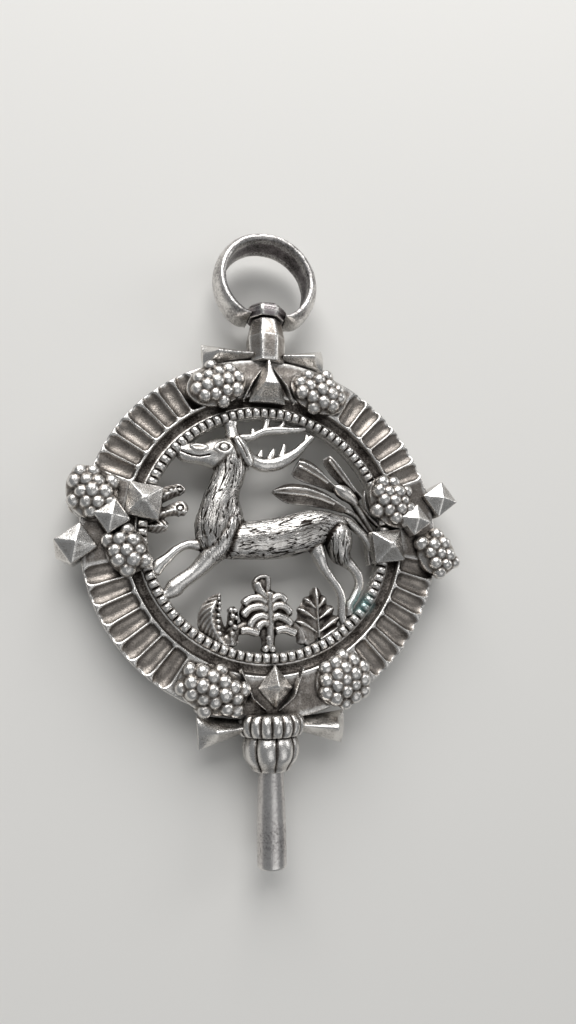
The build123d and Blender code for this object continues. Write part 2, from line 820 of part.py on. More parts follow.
# Collar: a gadrooned ring slotted over the rim
collar_top_y = collar_foot_y + collar_length
collar_shoulder = collar_shoulder_share * collar_length
collar_levels = (
    (collar_foot_y, collar_edge_radius),
    (collar_foot_y + collar_shoulder, collar_radius),
    (collar_top_y - collar_shoulder, collar_radius),
    (collar_top_y, collar_edge_radius),
)
with BuildPart() as collar:
    add(gadrooned(collar_levels, collar_lobes, collar_groove_share))
    with BuildSketch(across(collar_foot_y)):
        Circle(tenon_radius)
    extrude(amount=tenon_rise, mode=Mode.SUBTRACT)
    add(rim_seat.part, mode=Mode.SUBTRACT)
save(collar.part, "collar")

# Bulb: a gadrooned barrel between the collar and the pipe
bulb_levels = (
    (bulb_foot_y, bulb_foot_radius),
    (bulb_foot_y + bulb_shoulder_share * bulb_length, bulb_shoulder_radius),
    (bulb_foot_y + bulb_belly_share * bulb_length, bulb_radius),
    (bulb_foot_y + bulb_length, bulb_top_radius),
)
with BuildPart() as bulb:
    add(gadrooned(bulb_levels, bulb_lobes, bulb_groove_share))
    with BuildSketch(across(bulb_foot_y)):
        Circle(tenon_radius)
    extrude(amount=bulb_length, mode=Mode.SUBTRACT)
save(bulb.part, "bulb")

# Winding pipe: a straight end with the square socket, a taper, and a tenon through the bulb
with BuildPart() as winding_pipe:
    with BuildSketch(across(0)):
        Circle(pipe_radius)
    extrude(amount=pipe_straight)
    taper_rings = []
    for height, radius in ((pipe_straight, pipe_radius), (pipe_length, pipe_neck_radius)):
        corners = polygon_corners(radius, radius, pipe_sides)
        taper_rings.append(section(Vector(0, height, 0), Vector(0, 1, 0), corners))
    add(flat_loft(taper_rings))
    with BuildSketch(across(pipe_length)):
        Circle(tenon_radius)
    extrude(amount=collar_foot_y + tenon_rise - pipe_length)
    with BuildSketch(across(0)):
        Rectangle(socket_side, socket_side)
    extrude(amount=socket_depth, mode=Mode.SUBTRACT)
save(winding_pipe.part, "winding_pipe")

# Flared bars beside the neck and flared wedges beside the collar: place of the outer end of each
bar_end_shares = {
    "top_left": (-0.375, 0.99),
    "top_right": (0.345, 1.03),
    "bottom_left": (-0.385, -1.045),
    "bottom_right": (0.40, -1.05),
}
flared_bars = {}
for place_name, (x_share, y_share) in bar_end_shares.items():
    way = math.copysign(1, x_share)
    if y_share > 0:
        foot = (way * neck_foot_flats / 2, centre_y + rim_radius + bar_foot_lift)
        bar = flared_bar(foot, share_point(x_share, y_share), top_bar_end_half_width, [neck_post.part])
        save(bar, f"top_bar_{place_name[4:]}")
    else:
        foot = (way * collar_edge_radius, centre_y - rim_radius - bar_foot_lift)
        bar = flared_bar(foot, share_point(x_share, y_share), wedge_end_half_width, [collar.part])
        save(bar, f"bottom_wedge_{place_name[7:]}")
    flared_bars[place_name] = bar

# Side crosses: inner stud, raised boss and outer stud in a slanting line
outer_studs = {
    "left": outer_stud(-1.01, -0.09, 180 + cross_turn),
    "right": outer_stud(1.03, 0.21, cross_turn),
}
inner_stud_shares = {"left": (-0.68, 0.14), "right": (0.685, -0.075)}
centre_stud_shares = {"left": (-0.84, 0.045), "right": (0.845, 0.075)}
cross_studs = {}
for side_name, outer in outer_studs.items():
    save(outer, f"outer_stud_{side_name}")
    boss_place = centre_stud_shares[side_name]
    centre = faceted_stud(*boss_place, boss_side, boss_wall_rise, boss_apex_rise, [outer])
    save_both_sides(centre, f"centre_stud_{side_name}")
    stud_place = inner_stud_shares[side_name]
    inner = faceted_stud(*stud_place, stud_side, stud_wall_rise, stud_apex_rise, [centre])
    save_both_sides(inner, f"inner_stud_{side_name}")
    cross_studs[side_name] = [outer, centre, inner]

# Grape clusters: place, half length and half width as shares of the rim's radius, and tilt in degrees
cluster_shares = {
    "top_left": (-0.30, 0.815, 0.185, 0.13, 20),
    "top_right": (0.30, 0.815, 0.19, 0.13, -20),
    "bottom_left": (-0.315, -0.83, 0.20, 0.13, -22),
    "bottom_right": (0.39, -0.80, 0.175, 0.14, 30),
    "left_upper": (-0.94, 0.17, 0.155, 0.125, 121),
    "left_lower": (-0.76, -0.125, 0.115, 0.105, 121),
    "right_upper": (0.725, 0.185, 0.175, 0.125, 121),
    "right_lower": (1.005, -0.09, 0.125, 0.11, 121),
}
cluster_neighbours = {
    "top": [*kite_leaves["top"], top_kite],
    "bottom": [*kite_leaves["bottom"], bottom_kite, collar.part],
    **cross_studs,
}
for place_name, place_shares in cluster_shares.items():
    neighbours = list(cluster_neighbours[place_name.split("_")[0]])
    if place_name in flared_bars:
        neighbours.append(flared_bars[place_name])
    save_both_sides(grape_cluster(*place_shares, neighbours), f"grapes_{place_name}")
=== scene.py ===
"""Silver fob watch key: its visible surfaces, finishes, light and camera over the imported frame."""

import math
from functools import partial

import bmesh
import bpy
import numpy as np
from mathutils import Matrix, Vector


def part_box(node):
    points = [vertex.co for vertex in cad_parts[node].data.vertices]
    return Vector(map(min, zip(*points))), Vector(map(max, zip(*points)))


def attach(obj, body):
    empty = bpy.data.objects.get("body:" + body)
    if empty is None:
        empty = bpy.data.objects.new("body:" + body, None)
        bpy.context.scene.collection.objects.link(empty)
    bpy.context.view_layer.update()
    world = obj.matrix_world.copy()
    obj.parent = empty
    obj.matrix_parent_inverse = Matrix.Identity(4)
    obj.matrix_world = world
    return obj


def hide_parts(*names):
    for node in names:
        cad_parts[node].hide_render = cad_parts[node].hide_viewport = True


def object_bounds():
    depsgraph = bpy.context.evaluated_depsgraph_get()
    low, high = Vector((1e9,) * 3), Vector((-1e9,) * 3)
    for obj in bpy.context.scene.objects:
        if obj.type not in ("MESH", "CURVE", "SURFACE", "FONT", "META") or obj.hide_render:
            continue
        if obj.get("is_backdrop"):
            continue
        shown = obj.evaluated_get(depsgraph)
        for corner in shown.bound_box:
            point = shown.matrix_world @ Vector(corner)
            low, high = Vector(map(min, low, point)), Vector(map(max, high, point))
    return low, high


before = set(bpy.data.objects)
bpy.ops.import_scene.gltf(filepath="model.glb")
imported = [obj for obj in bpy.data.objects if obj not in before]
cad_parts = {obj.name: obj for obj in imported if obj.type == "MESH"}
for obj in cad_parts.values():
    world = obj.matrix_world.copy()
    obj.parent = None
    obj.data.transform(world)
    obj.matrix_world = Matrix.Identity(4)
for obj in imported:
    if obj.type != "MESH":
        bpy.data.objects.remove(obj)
CAD_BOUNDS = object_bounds()

bl_info = {
    "name": "Fob Watch Key",
    "version": (1, 0, 0),
    "blender": (4, 5, 0),
    "location": "3D View > Sidebar > Watch Key",
    "description": "Builds the surfaces and finishes of a silver fob watch key over its packed frame",
    "category": "Add Mesh",
}

MM = 0.001
RNG_SEED = 7
BOW_NODES = ("bow_ring", "bow_knob", "swivel_pin")


def node_box(node):
    """Lowest and highest corner of a node of the frame, in millimetres."""
    low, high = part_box(node)
    return np.array(low) / MM, np.array(high) / MM


# Sizes read from the frame. Lengths are in millimetres until a finished mesh is scaled to metres
RIM_LOW, RIM_HIGH = node_box("rim_frame")
RIM_RADIUS = (RIM_HIGH[0] - RIM_LOW[0]) / 2
CENTRE_Y = (RIM_HIGH[1] + RIM_LOW[1]) / 2
RIM_HALF_DEPTH = RIM_HIGH[2]
BEAD_LOW, BEAD_HIGH = node_box("bead_ring_front")
BEAD_OUTER = (BEAD_HIGH[0] - BEAD_LOW[0]) / 2
LEDGE, BEAD_TOP = BEAD_LOW[2], BEAD_HIGH[2]
WINDOW_RADIUS = 0.655 * RIM_RADIUS
RIDGE_RADIUS = 0.77 * RIM_RADIUS
BAND_FOOT = RIDGE_RADIUS + 0.25
BULB_LOW, BULB_HIGH = node_box("bulb")
COLLAR_PEAK = node_box("collar")[1][2] - 0.03


# Mesh work: a form is a list of vertices, quads, triangles and the darkness of each vertex, from 0 to 1:
# oxide in recesses, and painted shade on the bow's inner face


def around(count, start=0.0):
    """Angles spaced evenly round a circle; start is a share of their step."""
    return 2 * math.pi * (np.arange(count) + start) / count


def signed_power(values, power):
    """Each value's size to a power, with its sign kept."""
    return np.sign(values) * np.abs(values) ** power


def smooth_stations(stations, count):
    """Catmull-Rom curve through rows of numbers: each row holds a place and whatever goes with it.

    Between rows b and c, at share t, with neighbours a and d, a value is
    ((2b) + (c - a) t + (2a - 5b + 4c - d) t^2 + (3b - a - 3c + d) t^3) / 2.
    """
    rows = np.array(stations, float)
    rows = np.vstack([2 * rows[0] - rows[1], rows, 2 * rows[-1] - rows[-2]])
    place = np.linspace(0, len(rows) - 3 - 1e-9, count)
    first = place.astype(int)
    t = (place - first)[:, None]
    a, b, c, d = (rows[first + n] for n in range(4))
    return (2 * b + (c - a) * t + (2 * a - 5 * b + 4 * c - d) * t**2 + (3 * b - a - 3 * c + d) * t**3) / 2


def directions(places):
    """Unit directions along a row of places, level ones to their left, and the length reached at each."""
    along = np.gradient(places, axis=0)
    along /= np.linalg.norm(along, axis=1, keepdims=True)
    aside = np.stack([-along[:, 1], along[:, 0], np.zeros(len(places))], axis=1)
    aside /= np.linalg.norm(aside, axis=1, keepdims=True)
    steps = np.linalg.norm(np.diff(places, axis=0), axis=1)
    return along, aside, np.concatenate([[0], np.cumsum(steps)])


def sheet(points, ring=False, recess_and_shade=0.0):
    """One closed surface from a grid of points, whose rows are closed rings.

    With ring the last row also joins the first, and otherwise the first and the last row are closed by a
    fan round their mean point. Faces are turned outwards where they aren't.
    """
    rows, turns = points.shape[:2]
    index = np.arange(rows * turns).reshape(rows, turns)
    beside = np.roll(index, -1, axis=1)
    low, high = (slice(None), np.roll(np.arange(rows), -1)) if ring else (slice(0, -1), slice(1, None))
    quads = np.stack([index[low], beside[low], beside[high], index[high]], axis=-1).reshape(-1, 4)
    tris = np.zeros((0, 3), int)
    verts = points.reshape(-1, 3)
    depth = np.broadcast_to(recess_and_shade, (rows, turns)).reshape(-1)
    if not ring:
        first, last = np.full(turns, rows * turns), np.full(turns, rows * turns + 1)
        fans = (beside[0], index[0], first), (index[-1], beside[-1], last)
        tris = np.vstack([np.stack(fan, axis=-1) for fan in fans])
        verts = np.vstack([verts, points[0].mean(0), points[-1].mean(0)])
        depth = np.append(depth, [depth[:turns].mean(), depth[-turns:].mean()])
    form = [verts, quads, tris, depth]
    if signed_volume(form) < 0:
        form[1], form[2] = quads[:, ::-1], tris[:, ::-1]
    return form


def corners_of(form):
    """Vertex numbers of a form's triangles, with each quad cut in two."""
    quads, tris = form[1:3]
    return np.vstack([quads[:, [0, 1, 2]], quads[:, [0, 2, 3]], tris])


def signed_volume(form):
    """Six times the volume inside a closed form: the sum of its triangles' triple products."""
    a, b, c = form[0][corners_of(form).T]
    return float(np.einsum("ij,ij->", a, np.cross(b, c)))


def vertex_normals(form):
    """Unit normals at a form's vertices: the mean of the faces round each one."""
    verts, corners = form[0], corners_of(form)
    a, b, c = verts[corners.T]
    across = np.cross(b - a, c - a)
    normals = np.zeros_like(verts)
    for corner in corners.T:
        for axis in range(3):
            normals[:, axis] += np.bincount(corner, weights=across[:, axis], minlength=len(verts))
    return normals / np.maximum(np.linalg.norm(normals, axis=1, keepdims=True), 1e-12)


def gathered(forms):
    """Several forms as one, with their vertex numbers moved on."""
    start = np.cumsum([0] + [len(form[0]) for form in forms[:-1]])
    verts, quads, tris, depth = zip(*forms)
    quads, tris = (np.vstack([faces + n for faces, n in zip(kind, start)]) for kind in (quads, tris))
    return [np.vstack(verts), quads, tris, np.concatenate(depth)]


def turned_over(form):
    """A form's mirror image on the other side of the key's middle plane, with its faces turned."""
    return [form[0] * (1, 1, -1), form[1][:, ::-1], form[2][:, ::-1], form[3]]


def put_object(name, data):
    """A new object in the scene."""
    placed = bpy.data.objects.new(name, data)
    bpy.context.scene.collection.objects.link(placed)
    return placed


def put_value(mesh, name, values):
    """Keep one number for each vertex of a mesh."""
    mesh.attributes.new(name, "FLOAT", "POINT").data.foreach_set("value", values.astype(np.float32))


def mesh_of(name, form, scale, hollow=1.0):
    """A mesh from a form, with its darkness (oxide in recesses, and painted shade on the bow's inner face)
    and relief kept as numbers on each vertex.

    The relief of hollows is kept only to the share hollow, for wide hollows that a thumb reaches.
    """
    verts, quads, tris, depth = form
    mesh = bpy.data.meshes.new(name)
    mesh.vertices.add(len(verts))
    mesh.vertices.foreach_set("co", (verts * scale).astype(np.float32).ravel())
    mesh.loops.add(quads.size + tris.size)
    mesh.loops.foreach_set("vertex_index", np.concatenate([quads.ravel(), tris.ravel()]).astype(np.int32))
    starts = np.concatenate([np.arange(len(quads)) * 4, quads.size + np.arange(len(tris)) * 3])
    mesh.polygons.add(len(starts))
    mesh.polygons.foreach_set("loop_start", starts.astype(np.int32))
    mesh.update(calc_edges=True)
    mesh.validate()
    mesh.polygons.foreach_set("use_smooth", np.ones(len(mesh.polygons), bool))
    if len(depth) == len(mesh.vertices):
        put_value(mesh, "recess_and_shade", depth)
        relief = relief_of(form)
        put_value(mesh, "relief", np.where(relief < 0, relief * hollow, relief))
    return mesh


def relief_of(form, rounds=14, height=0.05):
    """How far each vertex stands out of its surroundings, in units of a height, from -1 to 1.

    The skin is smoothed by rounds of taking the mean of each vertex's neighbours, and the distance from
    there to the skin is measured along the normal: above zero on worn edges, below it in pits.
    """
    verts, quads, tris = form[:3]
    starts = np.concatenate([quads.ravel(), tris.ravel()])
    ends = np.concatenate([np.roll(quads, -1, axis=1).ravel(), np.roll(tris, -1, axis=1).ravel()])
    total = np.maximum(np.bincount(starts, minlength=len(verts)), 1)
    smooth = verts
    for _ in range(rounds):
        near = [np.bincount(starts, weights=smooth[ends, n], minlength=len(verts)) for n in range(3)]
        smooth = 0.5 * smooth + 0.5 * np.stack(near, axis=1) / total[:, None]
    return np.clip(np.einsum("ij,ij->i", verts - smooth, vertex_normals(form)) / height, -1, 1)


def read_values(items, name, width=1):
    """One property of a mesh's vertices, loops or faces as an array, with width numbers for each."""
    values = np.zeros(len(items) * width, int if width == 1 else float)
    items.foreach_get(name, values)
    return values


def form_of(mesh):
    """The form of a mesh that has only quads and triangles."""
    verts = read_values(mesh.vertices, "co", 3).reshape(-1, 3)
    totals, starts = (read_values(mesh.polygons, name) for name in ("loop_total", "loop_start"))
    loops = read_values(mesh.loops, "vertex_index")
    quads, tris = (loops[starts[totals == n][:, None] + np.arange(n)].reshape(-1, n) for n in (4, 3))
    return [verts, quads, tris, np.zeros(len(verts))]


def cast_together(mesh, grain, rounds):
    """One skin round everything in a mesh, as a casting has: cells of a grain's size, then softened."""
    piece = put_object("casting", mesh)
    remesh = piece.modifiers.new("cells", "REMESH")
    remesh.mode = "VOXEL"
    remesh.voxel_size = grain
    soften = piece.modifiers.new("soften", "SMOOTH")
    soften.factor = 0.5
    soften.iterations = rounds
    bpy.context.view_layer.update()
    skin = bpy.data.meshes.new_from_object(piece.evaluated_get(bpy.context.evaluated_depsgraph_get()))
    form = form_of(skin)
    bpy.data.objects.remove(piece)
    bpy.data.meshes.remove(mesh)
    bpy.data.meshes.remove(skin)
    return form


def waviness(points, wave, seed):
    """Gentle unevenness of hand work: a sum of eight sine waves with random directions and phases."""
    rng = np.random.default_rng(RNG_SEED + seed)
    headings = rng.normal(size=(8, 3))
    headings /= np.linalg.norm(headings, axis=1, keepdims=True)
    lengths = wave * rng.uniform(0.6, 1.8, 8)
    phases = rng.uniform(0, 2 * math.pi, 8)
    return np.sin(points @ (headings / lengths[:, None]).T * 2 * math.pi + phases).mean(axis=1)


def hand_worked(form, wave, seed):
    """A form whose skin swells and sinks a little along its normals, by up to the height of the dents."""
    dents = sizes().wear / MM * waviness(form[0], wave, seed)
    return [form[0] + vertex_normals(form) * dents[:, None], *form[1:]]


def fused(forms, grain, rounds, seed):
    """Forms melted into one casting, softened and left a little uneven."""
    casting = cast_together(mesh_of("wax", gathered(forms), 1.0), grain, rounds)
    return hand_worked(casting, wave=1.2, seed=seed)


def worn_copy(node, grain, rounds, seed):
    """A node of the frame as a worn casting: its mesh merged, reskinned and softened."""
    work = bmesh.new()
    work.from_mesh(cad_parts[node].data)
    bmesh.ops.scale(work, vec=(1 / MM, 1 / MM, 1 / MM), verts=work.verts)
    bmesh.ops.remove_doubles(work, verts=work.verts, dist=1e-4)
    mesh = bpy.data.meshes.new(node)
    work.to_mesh(mesh)
    work.free()
    return hand_worked(cast_together(mesh, grain, rounds), wave=1.1, seed=seed)


def swept(stations, count, turns):
    """A rounded bar along stations of x, y, height, half width and half depth.

    Round each place the section is an ellipse: aside = half width * cos t, up = half depth * sin t. Over
    the last half of a half width at each end it shrinks as a circle does: sqrt(1 - (1 - share)^2).
    """
    rows = smooth_stations(stations, count)
    places = rows[:, :3]
    along, aside, reach = directions(places)
    up = np.cross(along, aside)
    tip = np.maximum(rows[:, 3], 1e-3) * 0.5
    near = np.minimum(reach / tip, (reach[-1] - reach) / tip).clip(0, 1)
    swell = np.sqrt(1 - (1 - near) ** 2).clip(0.04, 1)
    t = around(turns)
    wide = (rows[:, 3] * swell)[:, None, None] * np.cos(t)[None, :, None] * aside[:, None, :]
    deep = (rows[:, 4] * swell)[:, None, None] * np.sin(t)[None, :, None] * up[:, None, :]
    return sheet(places[:, None, :] + wide + deep)


def leaf(stations, ridge, vein, count=48, turns=36, vein_pitch=0.55, edge=0.04):
    """A ridged leaf along stations of x, y, half width and half depth, the same on both faces.

    Across it, at share u of the half width and with its ridge at share r, its face stands at
    edge + half depth * f, with f = (1 - |u - r| / (1 - r, or 1 + r left of the ridge))^1.15, and carries
    veins of vein * cos(2 pi (length along - width across) / pitch) * 4 f (1 - f), which slant away.
    """
    rows = smooth_stations(stations, count)
    places = np.column_stack([rows[:, :2], np.zeros(count)])
    along, aside, reach = directions(places)
    t = around(turns, 0.5)
    u, side = np.cos(t)[None, :], np.sign(np.sin(t))[None, :]
    half_width, half_depth = rows[:, 2:3], np.maximum(rows[:, 3:4], 0.05)
    face = (1 - np.abs(u - ridge) / (1 - ridge * np.sign(u - ridge))).clip(0, 1) ** 1.15
    slant = np.cos(2 * math.pi * (reach[:, None] - np.abs(u) * half_width) / vein_pitch)
    points = places[:, None, :] + aside[:, None, :] * (half_width * u)[..., None]
    points[..., 2] += side * (half_depth * face + edge + vein * slant * (4 * face * (1 - face)))
    return sheet(points)


def chased(form, lines, full_depth=0.25):
    """Lines sunk into a skin or raised on it as with a tracing punch, the same on both faces.

    Each vertex moves along its normal by height * exp(-(d / half width)^2), where d is its distance in plan
    from the line, and less where the skin stands upright. What is sunk holds oxide.
    """
    verts, quads, tris, depth = form
    normals = vertex_normals(form)
    move = np.zeros(len(verts))
    for points, half_width, height in lines:
        start, span = points[:-1], np.diff(points, axis=0)
        near = verts[:, None, :2] - start
        share = np.clip((near * span).sum(-1) / (span**2).sum(-1), 0, 1)
        gap = np.linalg.norm(near - share[..., None] * span, axis=-1).min(axis=1)
        move += height * np.exp(-((gap / half_width) ** 2))
    moved = verts + normals * (move * np.abs(normals[:, 2]))[:, None]
    return [moved, quads, tris, np.clip(depth - move / full_depth, 0, 1)]


def hair_of(verts, furry, smooth, count=40, stroke=2.2, pitch=0.34):
    """Where hair lies on a skin: flow coordinates for its strokes, and how furry each vertex is.

    The nearest of the count stations of a furry bar, in units of its own width, gives the length along it
    and the arc round it. The skin is furry where such a station is nearer than any of a smooth bar.
    """
    rows = [smooth_stations(stations, count) for stations in furry + smooth]
    axis, width = np.vstack(rows)[:, :3], np.vstack(rows)[:, 3]
    along, aside, reach = (np.concatenate(part) for part in zip(*(directions(row[:, :3]) for row in rows)))
    gap = np.sqrt(np.maximum((verts**2).sum(1)[:, None] + (axis**2).sum(1) - 2 * verts @ axis.T, 0)) / width
    split = len(furry) * count
    nearest = gap[:, :split].argmin(axis=1)
    off = verts - axis[nearest]
    length = reach[nearest] + (off * along[nearest]).sum(1)
    arc = np.arctan2(off[:, 2], (off * aside[nearest]).sum(1)) * width[nearest]
    flow = np.stack([length / stroke, arc / pitch, nearest // count * 7.0], axis=1)
    return flow, np.clip((gap[:, split:].min(axis=1) - gap[:, :split].min(axis=1)) / 0.2 + 0.3, 0, 1)


# Finishes


def linear(colour_hex):
    """A colour written as sRGB hex, as the linear values that a shader takes."""
    parts = [int(colour_hex[n : n + 2], 16) / 255 for n in (1, 3, 5)]
    return [p / 12.92 if p <= 0.04045 else ((p + 0.055) / 1.055) ** 2.4 for p in parts]


# For each finish: the colour of its toned faces, roughness where bright and where dull, size of its pits,
# strength of its tarnish, relief from which the hand rubs it bright, and whether it has hair
FINISHES = {
    # sterling silver as cast: soft grey faces, bright worn edges and black oxide in the hollows
    "aged_cast_silver": ("dull", 0.24, 0.62, 0.16, 0.22, -0.08, False),
    # cast, then filed flat: its faces shine as much as its edges
    "faceted_cast_silver": ("dull", 0.22, 0.55, 0.16, 0.2, -0.42, False),
    # cast, then cut with a graver: short dark strokes of hair on bright metal
    "engraved_cast_silver": ("dull", 0.24, 0.55, 0.16, 0.2, -0.34, True),
    # a plain band that fingers have rubbed: cloudy tarnish with soft bright patches
    "rubbed_silver": ("tube", 0.26, 0.5, 0.22, 0.2, 0.12, False),
    # drawn tube: smooth and evenly warm with tarnish
    "drawn_tube_silver": ("tube", 0.3, 0.5, 0.25, 0.2, -0.3, False),
}
# Patches of tarnish, the width of a corner that holds oxide, and the height of a pit. The pits' size above
# is a few times that of real casting grit, so that they show
PATCH_SIZE = 2.4
CORNER_REACH = 0.8
BUMP_HEIGHT = 0.05
VERDIGRIS = "#8fb3b2"
VERDIGRIS_PLACE = (10.6 * MM, 26.4 * MM, 0.5 * MM)
VERDIGRIS_REACH = (0.5 * MM, 2.6 * MM)


def add_node(tree, kind, links=None, out=0, **settings):
    """Add a node and give one of its outputs.

    A setting that starts with in_ is an input's value, another is the node's own, and links join inputs.
    """
    node = tree.nodes.new(kind)
    for key, value in settings.items():
        if key.startswith("in_"):
            name = key[3:]
            node.inputs[int(name) if name.isdigit() else name].default_value = value
        else:
            setattr(node, key, value)
    for key, source in (links or {}).items():
        tree.links.new(source, node.inputs[key])
    return node.outputs[out] if len(node.outputs) else None


def silver(name, toned, rough_bright, rough_dull, pit_size, tarnish, rub, hair):
    """Aged silver: bright where it is rubbed, dull on its faces, black oxide in its recesses, and painted
    shade where a mesh's darkness numbers stand for it.

    Cast and punched silver is pitted finely, so a bump of grit size breaks its gloss, and oxide stays in
    whatever the hand does not reach: pits, narrow corners and patches. From the relief in rub up, the
    silver is rubbed bright.
    """
    colours = bpy.context.scene.watchkey_finish
    material = bpy.data.materials.new(name)
    material.use_nodes = True
    tree = material.node_tree
    tree.nodes.clear()
    place = add_node(tree, "ShaderNodeTexCoord", out="Object")
    links = {"Vector": place}
    pits, patches = (
        add_node(tree, "ShaderNodeTexNoise", links, in_Scale=scale, in_Detail=detail, in_Roughness=0.6)
        for scale, detail in ((1 / (pit_size * MM), 3.0), (1 / (PATCH_SIZE * MM), 4.0))
    )
    reach = CORNER_REACH * MM
    corner = add_node(tree, "ShaderNodeAmbientOcclusion", out="AO", samples=8, in_Distance=reach)
    relief = add_node(tree, "ShaderNodeAttribute", out="Fac", attribute_name="relief")
    recess_and_shade = add_node(tree, "ShaderNodeAttribute", out="Fac", attribute_name="recess_and_shade")
    before = {}
    # each source adds to the darkness what stands for its low end, its high end or a place between them
    for source, low, high, at_low, at_high in (
        (corner, 0.35, 0.85, 0.55, 0.0),
        (relief, -0.9, 0.15, 0.62, 0.0),
        # a mesh's darkness numbers: oxide in recesses, and painted shade on the bow's inner face
        (recess_and_shade, 0.0, 1.0, 0.0, 0.55),
        (patches, 0.3, 0.7, -tarnish, tarnish),
        (pits, 0.35, 0.7, -0.16, 0.26),
    ):
        part = add_node(
            tree, "ShaderNodeMapRange", {0: source}, in_1=low, in_2=high, in_3=at_low, in_4=at_high
        )
        dark = add_node(tree, "ShaderNodeMath", {0: part, **before}, operation="ADD", in_1=0.0)
        before = {1: dark}
    height = pits
    if hair:
        flow = add_node(tree, "ShaderNodeAttribute", out="Vector", attribute_name="hair_flow")
        furry = add_node(tree, "ShaderNodeAttribute", out="Fac", attribute_name="hair")
        # a stroke lies where noise that is drawn out along the hair crosses its middle value
        off = add_node(
            tree, "ShaderNodeTexNoise", {"Vector": flow}, in_Scale=1.0, in_Detail=1.0, in_Distortion=0.4
        )
        off = add_node(tree, "ShaderNodeMath", {0: off}, operation="SUBTRACT", in_1=0.5)
        off = add_node(tree, "ShaderNodeMath", {0: off}, operation="ABSOLUTE")
        gouged = add_node(tree, "ShaderNodeMapRange", {0: off}, in_1=0.018, in_2=0.058, in_3=1.0, in_4=0.0)
        cut = add_node(tree, "ShaderNodeMath", {0: gouged, 1: furry}, operation="MULTIPLY")
        dark = add_node(tree, "ShaderNodeMath", {0: cut, 2: dark}, operation="MULTIPLY_ADD", in_1=0.9)
        height = add_node(tree, "ShaderNodeMath", {0: cut, 2: pits}, operation="MULTIPLY_ADD", in_1=-1.4)
    worn = add_node(tree, "ShaderNodeMapRange", {0: relief}, in_1=rub, in_2=rub + 0.55, in_3=0.0, in_4=1.0)
    rubbed = add_node(tree, "ShaderNodeMath", {0: dark, 2: worn}, operation="MULTIPLY_ADD", in_1=-0.7)
    # share of the oxide colour, which on the bow's inner face is painted shade
    darkened_share = add_node(tree, "ShaderNodeMapRange", {0: dark}, in_1=0.12, in_2=0.88)
    # verdigris: a thin turquoise bloom on and round the near hind hoof
    away = add_node(
        tree, "ShaderNodeVectorMath", {0: place}, out="Value", operation="DISTANCE", in_1=VERDIGRIS_PLACE
    )
    near, far = VERDIGRIS_REACH
    bloom = add_node(tree, "ShaderNodeMapRange", {0: away}, in_1=near, in_2=far, in_3=0.55, in_4=-0.25)
    bloom = add_node(tree, "ShaderNodeMath", {0: patches, 2: bloom}, operation="MULTIPLY_ADD", in_1=0.35)
    bloom = add_node(tree, "ShaderNodeMapRange", {0: bloom}, in_1=0.25, in_2=0.75, in_4=0.7)
    face, under = [*getattr(colours, toned), 1.0], {}
    for share, over in ((rubbed, colours.bright), (darkened_share, colours.oxide), (bloom, linear(VERDIGRIS))):
        links = {"Factor": share, **under}
        colour = add_node(
            tree, "ShaderNodeMix", links, out=2, data_type="RGBA", in_6=face, in_7=[*over, 1.0]
        )
        under = {6: colour}
    gloss = add_node(
        tree, "ShaderNodeMapRange", {0: dark}, in_1=0.0, in_2=0.9, in_3=rough_bright, in_4=rough_dull
    )
    depth = BUMP_HEIGHT * MM
    bump = add_node(tree, "ShaderNodeBump", {"Height": height}, in_Strength=0.5, in_Distance=depth)
    links = {"Base Color": colour, "Roughness": gloss, "Normal": bump}
    shader = add_node(tree, "ShaderNodeBsdfPrincipled", links, in_Metallic=1.0)
    add_node(tree, "ShaderNodeOutputMaterial", {"Surface": shader})
    return material


def finish(name):
    """The named finish, made the first time that it is asked for."""
    return bpy.data.materials.get(name) or silver(name, *FINISHES[name])


def put_piece(node, form, finish_name="aged_cast_silver", hollow=1.0):
    """Make the piece that stands for a node of the frame, in the node's place."""
    piece = put_object("silver_" + node, mesh_of("silver_" + node, form, MM, hollow))
    piece.data.materials.append(finish(finish_name))
    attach(piece, "bow" if node in BOW_NODES else "key")
    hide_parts(node)
    return piece


def put_both_sides(name, form, finish_name="aged_cast_silver"):
    """The same piece on the front and, mirrored, on the back."""
    put_piece(name + "_front", form, finish_name)
    put_piece(name + "_back", turned_over(form), finish_name)


# Shapes

FLUTE_PITCH = math.radians(6.4)
# Runs of scoops: the angle of the first in degrees, and how many follow each other
FLUTE_SECTORS = ((120.1, 7), (195.1, 7), (309.0, 7), (23.1, 6))
# Rise of a bunch over the rim's face, and the angle in degrees that the bow stops short of the knob
CLUSTER_RISE = 1.95
BOW_GAP = 24


def carried_round(x, y, radius, angle, height):
    """A grid of points at a radius and an angle round a place in plan, each at its height."""
    return np.stack([x + radius * np.cos(angle), y + radius * np.sin(angle), height], axis=-1)


